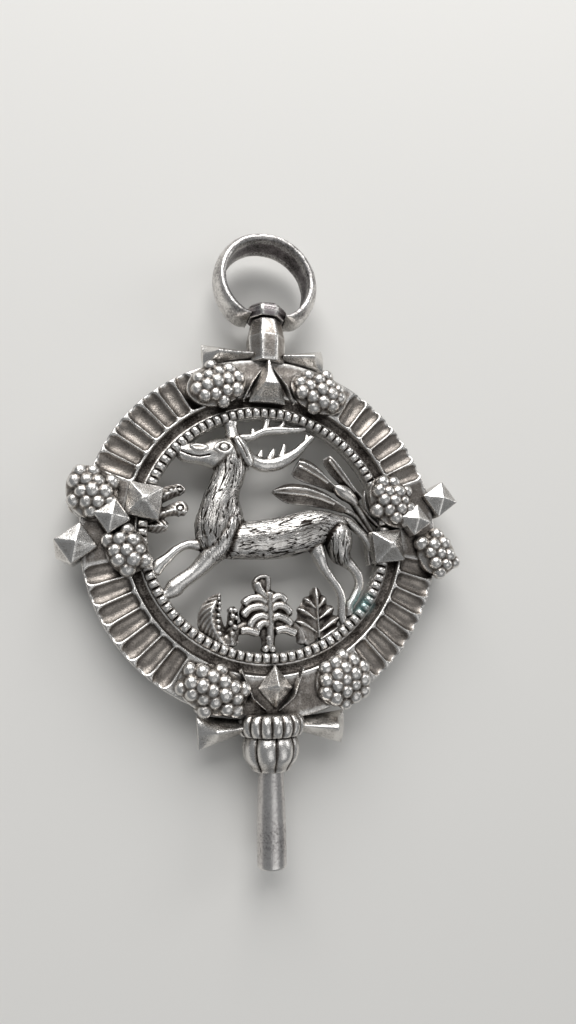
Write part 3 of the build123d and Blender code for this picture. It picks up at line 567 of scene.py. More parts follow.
def rim_form(size):
    """The fluted rim: one closed profile carried round, with thumb-shaped scoops taken out of its faces.

    At radius r and at u half flutes aside, a scoop's depth is D (1 - |u|^2.2 - v^2.6 - w^2.6)^0.55, where v
    runs from 0 to 1 over its rounded outer end and w over its squarer inner end.
    """
    channel, face = LEDGE - 0.07, RIM_HALF_DEPTH
    half = [(WINDOW_RADIUS, 0.0), (WINDOW_RADIUS, LEDGE - 0.08), (WINDOW_RADIUS + 0.08, LEDGE)]
    half += [(BEAD_OUTER, LEDGE), (BEAD_OUTER + 0.2, channel), (RIDGE_RADIUS - 0.25, channel)]
    half += [(RIDGE_RADIUS - 0.08, LEDGE + 0.06), (RIDGE_RADIUS + 0.06, face - 0.12)]
    half += [(RIDGE_RADIUS + 0.14, face - 0.02)]
    half += [(radius, face) for radius in np.linspace(BAND_FOOT, RIM_RADIUS - 0.22, 24)]
    half += [(RIM_RADIUS - 0.12, face - 0.04), (RIM_RADIUS - 0.04, face - 0.14)]
    half += [(RIM_RADIUS, face - 0.35), (RIM_RADIUS, 0.25)]
    profile = np.array(half + [(radius, -height) for radius, height in half[:0:-1]])
    radius, height = profile[:, :1], profile[:, 1:]
    angle = around(1080)[None, :]
    outer_end, inner_end, half_scoop = 1.58, 0.42, 0.48 * FLUTE_PITCH
    outer = np.clip((radius - (RIM_RADIUS - 1.5)) / outer_end, 0, 1)
    inner = np.clip((BAND_FOOT + 0.5 - radius) / inner_end, 0, 1)
    depth = np.zeros((len(profile), angle.size))
    fluted = np.zeros(angle.shape, bool)
    for first, count in FLUTE_SECTORS:
        at = (angle - math.radians(first) + math.pi) % (2 * math.pi) - math.pi
        nearest = np.clip(np.round(at / FLUTE_PITCH), 0, count - 1)
        u = np.abs(at - nearest * FLUTE_PITCH) / half_scoop
        inside = np.clip(1 - u**2.2 - outer**2.6 - inner**2.6, 0, 1)
        depth = np.maximum(depth, size.flute_depth / MM * inside**0.55)
        fluted |= u < 1.1
    depth *= radius > BAND_FOOT - 0.01
    rise = height - np.sign(height) * np.minimum(depth, np.abs(height))
    points = carried_round(0, CENTRE_Y, radius, angle, rise)
    in_channel = (radius > BEAD_OUTER) & (radius < RIDGE_RADIUS)
    between = ~fluted & (radius > BAND_FOOT) & (radius < RIM_RADIUS - 0.2)
    recess_and_shade = in_channel * 0.5 + between * 0.42
    # the grid is transposed, because a row of a sheet is the profile at one angle
    return sheet(points.transpose(1, 0, 2), ring=True, recess_and_shade=recess_and_shade.T)


def bead_form(size, steps=12):
    """A ring of beads: a flat-footed round section whose width and height swell once for each bead.

    At share p of a bead's length, from -1 to 1, the swell is (1 - |p|^2.6)^0.5, at least 0.3.
    """
    turns = size.bead_count * steps
    angle = around(turns)[:, None]
    p = np.abs((np.arange(turns) % steps + 0.5) / steps * 2 - 1)
    swell = np.maximum((1 - p**2.6) ** 0.5, 0.3)[:, None]
    t = (np.linspace(-0.12, 1.12, 13) * math.pi)[None, :]
    middle = (WINDOW_RADIUS + BEAD_OUTER) / 2
    radius = middle + (BEAD_OUTER - WINDOW_RADIUS) / 2 * np.cos(t) * (0.9 + 0.1 * swell)
    height = LEDGE + (BEAD_TOP - LEDGE) * np.maximum(np.sin(t), 0) ** 0.7 * swell
    recess_and_shade = (1 - (swell - 0.3) / 0.7) * 0.7 + np.abs(np.cos(t)) ** 4 * 0.2
    points = carried_round(0, CENTRE_Y, radius, angle, height)
    return sheet(points, ring=True, recess_and_shade=np.clip(recess_and_shade, 0, 1))


def filled_in(profile, step=0.12):
    """A profile with rows added on its straight runs, so that none is longer than a step."""
    rows = np.array(profile, float)
    reach = np.concatenate([[0], np.cumsum(np.abs(np.diff(rows, axis=0)).sum(axis=1))])
    places = np.unique(np.concatenate([reach, np.arange(0, reach[-1], step)]).round(4))
    return np.column_stack([np.interp(places, reach, rows[:, n]) for n in range(rows.shape[1])])


def turned_rows(node, profile):
    """Rows of y, radius and what follows, from rows whose first two numbers say where they lie on a node.

    These are 0 for its foot or 1 for its top, and the way from there.
    """
    low, high = node_box(node)
    rows = np.array(profile, float)
    return np.column_stack([low[1] + rows[:, 0] * (high[1] - low[1]) + rows[:, 1], rows[:, 2:]])


def round_form(profile, lobes=0, groove=0.0, ring=False, turns=144, shape=None, smooth=0):
    """A turned piece about the key's long axis, from rows of y and radius.

    With lobes, the radius is held full over each lobe's crown and sinks in the groove between two as
    radius * (1 - groove * (1 - |sin(lobes * t / 2)|^0.6)), by the share in a row's third number. With shape
    it is multiplied by shape(t, rows).
    """
    rows = smooth_stations(profile, smooth) if smooth else filled_in(profile)
    t = around(turns)[None, :]
    radius = np.broadcast_to(rows[:, 1:2], (len(rows), turns))
    sunk = np.zeros((len(rows), turns))
    if lobes:
        sunk = groove * (1 - np.abs(np.sin(lobes * t / 2)) ** 0.6) * np.clip(rows[:, 2:3], 0, 1)
        radius = radius * (1 - sunk)
    if shape:
        radius = radius * shape(t, rows)
    y = np.broadcast_to(rows[:, :1], radius.shape)
    points = np.stack([radius * np.cos(t), y, radius * np.sin(t)], axis=-1)
    return sheet(points, ring=ring, recess_and_shade=np.clip(sunk / (groove + 1e-9), 0, 1) * 0.35)


def octagon(t, rows, over):
    """Reach of an octagon with unit flats and rubbed corners, where the radius is over a limit."""
    offset = (t + math.pi / 8) % (math.pi / 4) - math.pi / 8
    sides = np.stack([np.cos(offset), np.cos(math.pi / 4 - np.abs(offset))])
    return np.where(rows[:, 1:2] > over, 1 / (sides**60).sum(axis=0) ** (1 / 60), 1.0)


def socket(t, rows):
    """Reach of a square inside the mouth of the pipe, and 1 elsewhere."""
    inside = (rows[:, 1:2] < 0.8) & (rows[:, :1] < 8)
    return np.where(inside, 1 / np.maximum(np.abs(np.cos(t)), np.abs(np.sin(t))), 1.0)


def bow_form():
    """The bow: a band whose section is flat inside and bulges outside, carried round an open arc.

    Round the section, from corner to corner, the outer face stands bulge * |z / half|^2.6 under its peak.
    At each end the band thins to 0.3 of its thickness, as 0.3 + 0.7 sin(share of the thin end * pi / 2).
    """
    low, high = node_box("bow_ring")
    peak, half = (high[0] - low[0]) / 2, high[2]
    thickness, bulge, thin_end = 1.35, 0.72, math.radians(16)
    inner = peak - thickness
    z = half * np.sin(np.linspace(-math.pi / 2, math.pi / 2, 25))
    outer_face = np.column_stack([peak - bulge * np.abs(z / half) ** 2.6, z * 0.97])
    inner_face = np.column_stack([np.full(12, inner), np.linspace(half - 0.12, 0.12 - half, 12)])
    inner_face[[0, -1], 0] += 0.10
    profile = np.vstack([outer_face, inner_face])
    turn = np.radians(np.linspace(BOW_GAP - 90, 270 - BOW_GAP, 240))[:, None]
    from_end = np.minimum(turn - turn[0], turn[-1] - turn) / thin_end
    taper = 0.3 + 0.7 * np.sin(np.minimum(from_end, 1) * math.pi / 2)
    radius = inner + (profile[:, 0] - inner) * taper
    height = np.broadcast_to(profile[:, 1], radius.shape)
    points = carried_round((low[0] + high[0]) / 2, high[1] - peak, radius, turn, height)
    # the outer face is toned a little darker all over, and the inner face much darker as painted shade
    # inside the ring
    inside = np.repeat([0.42, 0.8], [len(outer_face), len(inner_face)])
    return sheet(points, recess_and_shade=np.broadcast_to(inside, radius.shape))


def ball(place, radius):
    """A small ball of rings: radius * (sin a cos t, sin a sin t, cos a)."""
    a, t = np.linspace(0.35, math.pi - 0.35, 7)[:, None], around(12)[None, :]
    unit = [np.sin(a) * np.cos(t), np.sin(a) * np.sin(t), np.cos(a) * np.ones_like(t)]
    return sheet(np.array(place) + radius * np.stack(unit, axis=-1))


def bunch_form(x, y, half_long, half_wide, tilt, grape_radius, seed):
    """A bunch of grapes: a dome with balls packed in rows over it, each a little off its place.

    At shares p and q of its half length and half width, the dome stands at
    0.9 rise * (1 - p^2 - q^2)^0.42 over the rim's face, and the balls' middles lie a little under it.
    """
    rng = np.random.default_rng(RNG_SEED + seed)
    pitch, inset, jitter = 1.40 * grape_radius, 0.55 * grape_radius, 0.08
    along, aside = np.meshgrid(np.arange(-6, 7), np.arange(-6, 7), indexing="ij")
    u = ((along + 0.5 * (aside % 2)) * pitch).ravel()
    v = (aside * pitch * 0.87).ravel()
    inside = (u / (half_long - inset)) ** 2 + (v / (half_wide - inset)) ** 2 < 1
    u = u[inside] + rng.normal(0, jitter, inside.sum())
    v = v[inside] + rng.normal(0, jitter, inside.sum())
    radii = grape_radius * rng.uniform(0.9, 1.1, len(u))
    c, s = math.cos(math.radians(tilt)), math.sin(math.radians(tilt))
    out = np.sin(np.linspace(0.12, 1, 12) * math.pi / 2)[:, None]
    t = around(48)[None, :]
    p, q = 0.93 * out * np.cos(t) * half_long, 0.93 * out * np.sin(t) * half_wide

    def on_dome(a, b, sunk):
        """Places in plan on the turned dome, lowered a little."""
        share = np.clip(1 - (a / half_long) ** 2 - (b / half_wide) ** 2, 0, 1)
        height = RIM_HALF_DEPTH + 0.9 * CLUSTER_RISE * share**0.42 - sunk
        return np.stack([x + c * a - s * b, y + s * a + c * b, height], axis=-1)

    balls = [ball(place, radius) for place, radius in zip(on_dome(u, v, 0.64 * grape_radius), radii)]
    dome = on_dome(p, q, 0.34)
    foot = dome[-1:].copy()
    foot[..., 2] = RIM_HALF_DEPTH - 0.5
    return gathered(balls + [sheet(np.concatenate([dome, foot]))])


def bar_form(foot, end, half_width, rise, hip):
    """A flared bar on both faces: a worn rhombus section carried from its foot to its sloping end.

    Round the section, aside = half width * |cos t|^1.6 and up = height * |sin t|^1.6, with their signs, so
    its edges are nearly sharp. Over the hip the height falls to 0.28 of itself and the width still grows.
    """
    foot, end = np.array(foot), np.array(end)
    reach = np.linalg.norm(end - foot)
    along = (end - foot) / reach
    aside = np.array([-along[1], along[0]])
    crest = 1 - hip / reach
    share = np.concatenate([np.linspace(0, crest, 30), np.linspace(crest, 1, 16)[1:]])[:, None]
    foot_width, foot_rise = 0.62, 0.55
    width = foot_width + (half_width - foot_width) * share
    over = np.clip((share - crest) / (hip / reach), 0, 1)
    height = RIM_HALF_DEPTH + foot_rise + (rise - foot_rise) * np.minimum(share, crest)
    height = height * (1 - 0.72 * over)
    t = around(64, 0.5)
    middle = foot + (end - foot) * share
    flat = middle[:, None, :] + (width * signed_power(np.cos(t), 1.6))[..., None] * aside
    return sheet(np.concatenate([flat, (height * signed_power(np.sin(t), 1.6))[..., None]], axis=-1))


def stud_form(node, turn):
    """A square stud with low walls and a blunt pyramid on top, from STUD's rows, turned by an angle."""
    low, high = node_box(node)
    middle, reach = (low + high) / 2, (high[0] - low[0]) / 2
    side, share, under = np.array(STUD).T
    t = math.radians(turn) + math.pi / 2 * np.arange(4) + math.pi / 4
    ring = np.stack([np.cos(t), np.sin(t)], axis=1) * math.sqrt(2)
    flat = middle[:2] + (side * reach)[:, None, None] * ring
    up = np.broadcast_to((low[2] + share * (high[2] - low[2]) - under)[:, None], flat.shape[:2])
    return sheet(np.concatenate([flat, up[..., None]], axis=-1))


def kite_form():
    """The kite under the neck: a ridge that widens and climbs to its crest, then a steep fall to its foot.

    Each row across it is a trapezoid: foot, flank and plateau at its station's half widths and heights.
    """
    low, high = node_box("top_kite_front")
    reach = (high[0] - low[0]) / 2
    spans = (high[1] - low[1], reach, reach, high[2] - low[2])
    y, wide, flat, rise = (smooth_stations(KITE, 40) * spans).T
    aside = np.stack([-wide, -wide, -flat, flat, wide, wide], axis=1)
    up = low[2] + rise[:, None] * (0, 0.12, 1, 1, 0.12, 0) - np.array([0.2, 0, 0, 0, 0, 0.2])
    down = np.repeat((high[1] - y)[:, None], 6, axis=1)
    return sheet(np.stack([(low[0] + high[0]) / 2 + aside, down, up], axis=-1))


# Ways to write the tables of places and shapes


def in_window(shares):
    """Rows given as shares of the window's radius, with the first two from the frame's centre."""
    rows = np.array(shares, float) * WINDOW_RADIUS
    rows[:, 1] += CENTRE_Y
    return rows


def bar_in_window(shares):
    """Stations of a bar in the window: a row of four numbers lies in the middle plane, at the height 0."""
    rows = in_window(shares)
    return rows if rows.shape[1] == 5 else np.insert(rows, 2, 0.0, axis=1)


def lines_in_window(lines):
    """Lines in the window, each with its half width and its height."""
    return [(in_window(points), half_width, height) for points, half_width, height in lines]


def circle(x, y, radius):
    """A closed line round a place, in the unit of the numbers."""
    t = np.linspace(0, 2 * math.pi, 25)
    return np.column_stack([x + radius * np.cos(t), y + radius * np.sin(t)])


def even(section, *places):
    """Stations of a bar that has the same section all along."""
    return [(*place, *section) for place in places]


def both_sides(*bars):
    """Each bar, written for the front, and then its mirror image on the back."""
    return [
        [(x, y, side * height, *rest) for x, y, height, *rest in bar] for bar in bars for side in (1, -1)
    ]


# Height, half width and half depth of a rib, as shares of the window's radius
RIB_SECTION = (0.032, 0.035, 0.034)


def ribs(*lines):
    """Ribs of one height and section over both faces."""
    return both_sides(*(even(RIB_SECTION, *line) for line in lines))


# Tables of places and shapes

# Stations as shares of the window's radius: x, y, half width and half depth. Where a row has five numbers,
# its height comes before the half width
STAG_TRUNK = [
    (-0.5, -0.08, 0.1, 0.08), (-0.36, -0.075, 0.155, 0.115), (-0.2, -0.073, 0.162, 0.12),
    (0.03, -0.057, 0.175, 0.12), (0.21, -0.021, 0.179, 0.12), (0.385, 0.035, 0.172, 0.115),
    (0.53, 0.07, 0.135, 0.105), (0.65, 0.085, 0.08, 0.08), (0.71, 0.075, 0.04, 0.05),
]
STAG_THROAT = [
    (-0.4, -0.2, 0.1, 0.09), (-0.43, -0.09, 0.175, 0.12), (-0.415, 0.02, 0.212, 0.13),
    (-0.405, 0.15, 0.192, 0.125), (-0.4, 0.26, 0.158, 0.12), (-0.373, 0.37, 0.138, 0.112),
    (-0.337, 0.47, 0.136, 0.108), (-0.32, 0.56, 0.142, 0.108), (-0.32, 0.64, 0.14, 0.106),
    (-0.32, 0.73, 0.08, 0.07),
]
STAG_HAUNCH = [
    (0.655, 0.1, 0.06, 0.08), (0.634, 0.02, 0.112, 0.118), (0.63, -0.09, 0.122, 0.124),
    (0.645, -0.18, 0.098, 0.112), (0.7, -0.25, 0.05, 0.07),
]
STAG_HEAD = [
    (-0.2, 0.675, 0.085, 0.085), (-0.26, 0.67, 0.125, 0.105), (-0.35, 0.668, 0.143, 0.108),
    (-0.45, 0.661, 0.136, 0.1), (-0.56, 0.658, 0.102, 0.09), (-0.65, 0.663, 0.096, 0.082),
    (-0.73, 0.664, 0.084, 0.07), (-0.785, 0.66, 0.058, 0.056),
]
STAG_EAR = [
    (-0.29, 0.8, 0.07, 0.03, 0.04), (-0.255, 0.75, 0.082, 0.046, 0.04),
    (-0.215, 0.67, 0.086, 0.048, 0.04), (-0.175, 0.59, 0.08, 0.036, 0.036),
    (-0.155, 0.55, 0.068, 0.014, 0.025),
]
STAG_LIMBS = [
    [(-0.3, 0.2, 0.042, 0.074), (-0.32, 0.08, 0.085, 0.124), (-0.345, 0, 0.111, 0.134),
     (-0.389, -0.096, 0.119, 0.134), (-0.472, -0.191, 0.096, 0.11), (-0.564, -0.295, 0.076, 0.082),
     (-0.644, -0.367, 0.065, 0.068), (-0.724, -0.424, 0.068, 0.066), (-0.783, -0.479, 0.076, 0.068),
     (-0.84, -0.52, 0.049, 0.053), (-0.91, -0.555, 0.053, 0.053)],
    [(-0.53, -0.08, 0.074, 0.063), (-0.585, -0.12, 0.051, 0.053), (-0.677, -0.118, 0.038, 0.044),
     (-0.768, -0.165, 0.039, 0.044), (-0.837, -0.231, 0.043, 0.047), (-0.905, -0.293, 0.055, 0.053),
     (-0.945, -0.37, 0.048, 0.047)],
    [(0.662, -0.217, 0.069, 0.089), (0.734, -0.275, 0.048, 0.058), (0.796, -0.357, 0.042, 0.053),
     (0.803, -0.454, 0.04, 0.05), (0.753, -0.551, 0.038, 0.047), (0.704, -0.636, 0.039, 0.047),
     (0.71, -0.72, 0.048, 0.047)],
    [(0.4, -0.03, 0.074, 0.047), (0.445, -0.19, 0.066, 0.074), (0.487, -0.295, 0.046, 0.053),
     (0.545, -0.38, 0.038, 0.044), (0.608, -0.466, 0.037, 0.042), (0.639, -0.551, 0.038, 0.042),
     (0.64, -0.64, 0.038, 0.042), (0.64, -0.72, 0.042, 0.042), (0.67, -0.78, 0.042, 0.042)],
    [(0.6, 0.125, 0.053, 0.063), (0.68, 0.12, 0.045, 0.053), (0.744, 0.094, 0.042, 0.047),
     (0.835, 0.018, 0.04, 0.044), (0.891, -0.047, 0.038, 0.042), (0.935, -0.113, 0.036, 0.04),
     (1, -0.18, 0.032, 0.037)],
    [(-0.29, 0.76, 0.084, 0.078), (-0.305, 0.83, 0.068, 0.06), (-0.318, 0.9, 0.058, 0.054),
     (-0.322, 0.945, 0.07, 0.054), (-0.335, 0.985, 0.049, 0.048)],
    [(-0.27, 0.77, 0.057, 0.06), (-0.229, 0.813, 0.041, 0.048), (-0.141, 0.828, 0.035, 0.043),
     (-0.088, 0.858, 0.036, 0.043), (-0.017, 0.89, 0.039, 0.043), (0.091, 0.907, 0.041, 0.043),
     (0.199, 0.914, 0.035, 0.041), (0.3, 0.925, 0.027, 0.036), (0.364, 0.94, 0.024, 0.036)],
    [(-0.13, 0.83, 0.041, 0.042), (-0.127, 0.87, 0.024, 0.03), (-0.123, 0.91, 0.024, 0.026)],
    [(-0.017, 0.89, 0.041, 0.042), (-0.005, 0.95, 0.031, 0.036), (0.003, 1.02, 0.038, 0.036)],
    [(0.085, 0.91, 0.032, 0.036), (0.14, 0.955, 0.024, 0.03), (0.152, 1, 0.024, 0.03),
     (0.13, 1.03, 0.024, 0.03)],
    [(-0.23, 0.73, 0.061, 0.066), (-0.177, 0.665, 0.057, 0.06), (-0.125, 0.62, 0.058, 0.058),
     (-0.038, 0.588, 0.063, 0.058), (0.068, 0.6, 0.062, 0.058), (0.176, 0.65, 0.057, 0.053),
     (0.268, 0.718, 0.045, 0.048), (0.343, 0.795, 0.036, 0.043), (0.43, 0.885, 0.03, 0.036)],
    [(-0.085, 0.61, 0.041, 0.042), (-0.065, 0.67, 0.027, 0.03), (-0.045, 0.722, 0.012, 0.018)],
    [(0.016, 0.62, 0.041, 0.042), (0.042, 0.69, 0.027, 0.03), (0.063, 0.742, 0.012, 0.018)],
    [(0.123, 0.65, 0.041, 0.042), (0.142, 0.72, 0.027, 0.03), (0.155, 0.79, 0.012, 0.018)],
    [(0.352, 0.8, 0.035, 0.038), (0.358, 0.845, 0.024, 0.03), (0.364, 0.89, 0.016, 0.024)],
    *both_sides(STAG_EAR),
]
# Lines on the stag: points as shares of the window's radius, then half width and height in millimetres
STAG_LINES = [
    ([(-0.468, 0.688), (-0.435, 0.733), (-0.39, 0.748), (-0.345, 0.732), (-0.318, 0.698)], 0.12, 0.10),
    ([(-0.468, 0.688), (-0.43, 0.664), (-0.385, 0.656), (-0.345, 0.668), (-0.318, 0.698)], 0.11, 0.07),
    (circle(-0.390, 0.702, 0.038), 0.09, -0.11),
    (circle(-0.390, 0.702, 0.006), 0.12, 0.05),
    ([(-0.665, 0.697), (-0.63, 0.714), (-0.58, 0.714), (-0.535, 0.697)], 0.11, 0.12),
    ([(-0.665, 0.697), (-0.63, 0.680), (-0.58, 0.677), (-0.535, 0.69)], 0.11, 0.10),
    ([(-0.745, 0.655), (-0.70, 0.636), (-0.653, 0.620), (-0.587, 0.612), (-0.515, 0.630)], 0.11, -0.20),
    ([(0.603, 0.068), (0.528, 0.0), (0.513, -0.088), (0.538, -0.175), (0.604, -0.261)], 0.30, -0.13),
    ([(-0.262, 0.06), (-0.281, 0.005), (-0.302, -0.08), (-0.334, -0.174), (-0.355, -0.20)], 0.34, -0.11),
    ([(-0.56, -0.03), (-0.535, -0.09), (-0.53, -0.15)], 0.24, -0.08),
    ([(-0.275, 0.77), (-0.235, 0.70), (-0.20, 0.62)], 0.08, -0.12),
    ([(-0.325, 0.79), (-0.30, 0.70), (-0.27, 0.62)], 0.14, -0.10),
]

# Leaves as shares of the window's radius: place of the ridge, height of the veins in millimetres, then
# stations of x, y, half width and half depth
LEAVES = {
    "right_leaf_spray": [
        (0.45, 0, [(0.042, 0.351, 0.014, 0.032), (0.104, 0.348, 0.057, 0.05),
                   (0.192, 0.342, 0.092, 0.073), (0.327, 0.337, 0.092, 0.078),
                   (0.463, 0.306, 0.081, 0.073), (0.584, 0.263, 0.057, 0.064),
                   (0.69, 0.21, 0.032, 0.055)]),
        (0.45, 0, [(0.255, 0.595, 0.087, 0.046), (0.29, 0.574, 0.103, 0.069),
                   (0.363, 0.543, 0.103, 0.078), (0.445, 0.499, 0.084, 0.078),
                   (0.528, 0.446, 0.055, 0.069), (0.611, 0.387, 0.032, 0.055)]),
        (0.55, 0, [(0.539, 0.686, 0.046, 0.037), (0.565, 0.642, 0.06, 0.055),
                   (0.632, 0.554, 0.062, 0.064), (0.707, 0.463, 0.048, 0.064),
                   (0.783, 0.379, 0.032, 0.055), (0.851, 0.318, 0.027, 0.046)]),
    ],
    "left_leaf_spray": [
        (0.2, 0.05, [(-0.703, 0.341, 0.023, 0.032), (-0.742, 0.339, 0.051, 0.046),
                     (-0.794, 0.327, 0.057, 0.051), (-0.863, 0.298, 0.062, 0.051),
                     (-0.92, 0.262, 0.057, 0.046), (-0.959, 0.237, 0.046, 0.042)]),
        (0.2, 0.04, [(-0.687, 0.145, 0.034, 0.032), (-0.734, 0.174, 0.074, 0.051),
                     (-0.791, 0.169, 0.057, 0.051), (-0.86, 0.146, 0.046, 0.051),
                     (-0.917, 0.13, 0.057, 0.046), (-0.968, 0.114, 0.046, 0.042)]),
        (0.1, 0.06, [(-0.837, 0.021, 0.034, 0.028), (-0.887, 0.032, 0.062, 0.046),
                     (-0.949, 0.028, 0.062, 0.051), (-1, 0.026, 0.046, 0.042),
                     (-1.039, 0.027, 0.034, 0.037)]),
    ],
    "left_ground_leaf": [
        (0.1, 0.06, [(-0.409, -0.516, 0.009, 0.019), (-0.446, -0.571, 0.057, 0.038),
                     (-0.487, -0.651, 0.088, 0.053), (-0.494, -0.73, 0.103, 0.057),
                     (-0.47, -0.81, 0.103, 0.057), (-0.421, -0.889, 0.092, 0.053),
                     (-0.373, -0.945, 0.076, 0.046)]),
        (0, 0.05, [(-0.312, -0.623, 0.023, 0.023), (-0.302, -0.684, 0.046, 0.042),
                   (-0.312, -0.764, 0.046, 0.046), (-0.324, -0.844, 0.053, 0.046),
                   (-0.312, -0.931, 0.069, 0.046)]),
    ],
    "right_ground_leaf": [
        (0, 0, [(0.41, -0.5, 0.019, 0.023), (0.403, -0.56, 0.07, 0.036), (0.385, -0.64, 0.13, 0.04),
                (0.39, -0.72, 0.16, 0.04), (0.4, -0.8, 0.15, 0.04), (0.429, -0.88, 0.12, 0.036)]),
        (0, 0, [(0.405, -0.465, 0.022, 0.03), (0.405, -0.515, 0.056, 0.056),
                (0.405, -0.575, 0.045, 0.066), (0.407, -0.65, 0.03, 0.066),
                (0.412, -0.75, 0.026, 0.062), (0.42, -0.88, 0.03, 0.05)]),
        (0, 0, [(0.3, -0.558, 0.02, 0.03), (0.335, -0.585, 0.048, 0.06), (0.4, -0.65, 0.02, 0.05)]),
        (0, 0, [(0.492, -0.545, 0.02, 0.03), (0.465, -0.575, 0.048, 0.06), (0.41, -0.65, 0.02, 0.05)]),
        (0, 0, [(0.242, -0.645, 0.022, 0.03), (0.3, -0.67, 0.053, 0.062), (0.4, -0.74, 0.02, 0.05)]),
        (0, 0, [(0.56, -0.635, 0.022, 0.03), (0.51, -0.665, 0.053, 0.062), (0.41, -0.74, 0.02, 0.05)]),
        (0, 0, [(0.225, -0.75, 0.022, 0.03), (0.29, -0.77, 0.055, 0.062), (0.4, -0.84, 0.02, 0.05)]),
        (0, 0, [(0.605, -0.72, 0.022, 0.03), (0.54, -0.755, 0.055, 0.062), (0.42, -0.84, 0.02, 0.05)]),
        (0, 0, [(0.6, -0.8, 0.02, 0.03), (0.53, -0.84, 0.045, 0.055), (0.43, -0.9, 0.02, 0.05)]),
    ],
}
# Stems and ribs, written as the stag's bars
STEMS = {
    "right_leaf_spray": [
        [(0.592, 0.413, 0.019, 0.023, 0.046), (0.642, 0.388, 0.023, 0.055, 0.061),
         (0.703, 0.353, 0.023, 0.065, 0.065), (0.764, 0.305, 0.015, 0.047, 0.057),
         (0.801, 0.259, 0, 0.034, 0.046)],
        [(0.779, 0.28, 0.032, 0.046), (0.838, 0.192, 0.032, 0.042), (0.897, 0.097, 0.032, 0.038),
         (0.955, -0.006, 0.031, 0.038), (0.991, -0.079, 0.031, 0.038)],
        [(0.803, 0.289, 0.027, 0.038), (0.878, 0.201, 0.023, 0.034), (0.969, 0.114, 0.023, 0.031),
         (1.076, 0.034, 0.023, 0.031)],
        [(0.69, 0.217, 0.027, 0.038), (0.782, 0.168, 0.023, 0.031), (0.857, 0.081, 0.019, 0.027),
         (0.931, -0.021, 0.019, 0.027)],
    ],
    "left_leaf_spray": [
        [(-0.911, 0.296, 0.031, 0.038), (-0.914, 0.263, 0.034, 0.038), (-0.918, 0.203, 0.031, 0.038),
         (-0.928, 0.108, 0.031, 0.034), (-1, 0.041, 0.023, 0.031)],
    ],
    "left_ground_leaf": [
        [(-0.389, -0.866, 0.038, 0.034), (-0.34, -0.899, 0.069, 0.038), (-0.308, -0.939, 0.061, 0.038)],
    ],
    "ground_palmette": [
        [(-0.005, -0.479, 0.046, 0.031), (-0.01, -0.537, 0.122, 0.038), (-0.021, -0.603, 0.191, 0.042),
         (-0.025, -0.669, 0.229, 0.042), (-0.022, -0.734, 0.214, 0.042), (-0.009, -0.792, 0.168, 0.038),
         (-0.003, -0.845, 0.076, 0.038), (-0.001, -0.913, 0.047, 0.038), (-0.002, -0.969, 0.057, 0.038),
         (-0.002, -1.013, 0.069, 0.034)],
        *ribs(
            [(-0.019, -0.56), (-0.057, -0.527), (-0.091, -0.478), (-0.11, -0.422)],
            [(-0.019, -0.592), (-0.083, -0.56), (-0.159, -0.563), (-0.224, -0.608)],
            [(-0.017, -0.658), (-0.084, -0.628), (-0.164, -0.642), (-0.231, -0.705)],
            [(-0.014, -0.723), (-0.071, -0.703), (-0.135, -0.731), (-0.175, -0.795)],
            [(-0.008, -0.778), (-0.045, -0.758), (-0.085, -0.777), (-0.111, -0.815)],
            [(0.001, -0.593), (0.049, -0.55), (0.101, -0.547), (0.138, -0.593)],
            [(0.004, -0.658), (0.06, -0.619), (0.128, -0.629), (0.181, -0.685)],
            [(0.008, -0.733), (0.067, -0.707), (0.135, -0.731), (0.186, -0.784)],
            [(-0.006, -0.499), (-0.002, -0.589), (0.003, -0.736), (-0.003, -0.881), (-0.007, -0.977)],
        ),
        [(-0.055, -0.388, 0.03, 0.03), (-0.066, -0.43, 0.052, 0.036), (-0.058, -0.49, 0.05, 0.036),
         (-0.03, -0.55, 0.04, 0.036)],
        *ribs(
            [(-0.251, -0.823), (-0.177, -0.817), (-0.086, -0.844)],
            [(0.04, -0.827), (0.125, -0.81), (0.227, -0.846)],
        ),
        even((0.023, 0.042), (-0.037, -0.555), (-0.104, -0.49), (-0.121, -0.424), (-0.078, -0.382),
                             (-0.018, -0.382), (-0.002, -0.423)),
        even((0.032, 0.042), (-0.018, -0.373), (-0.01, -0.44), (-0.02, -0.506), (-0.021, -0.572)),
        even((0.044, 0.038), (-0.312, -0.953), (-0.312, -0.88), (-0.274, -0.817), (-0.207, -0.781),
                             (-0.131, -0.782), (-0.064, -0.82), (-0.026, -0.885), (-0.027, -0.959)),
        even((0.044, 0.038), (-0.003, -0.938), (-0.002, -0.869), (0.035, -0.809), (0.099, -0.775),
                             (0.173, -0.776), (0.237, -0.812), (0.272, -0.873), (0.271, -0.944)),
        [(0.034, -0.801, 0.038, 0.038), (0.136, -0.796, 0.053, 0.042), (0.213, -0.8, 0.046, 0.038)],
    ],
    "right_ground_leaf": [
        [(0.257, -0.774, 0.053, 0.038), (0.325, -0.829, 0.076, 0.038), (0.341, -0.895, 0.069, 0.038),
         (0.291, -0.943, 0.046, 0.038)],
    ],
}
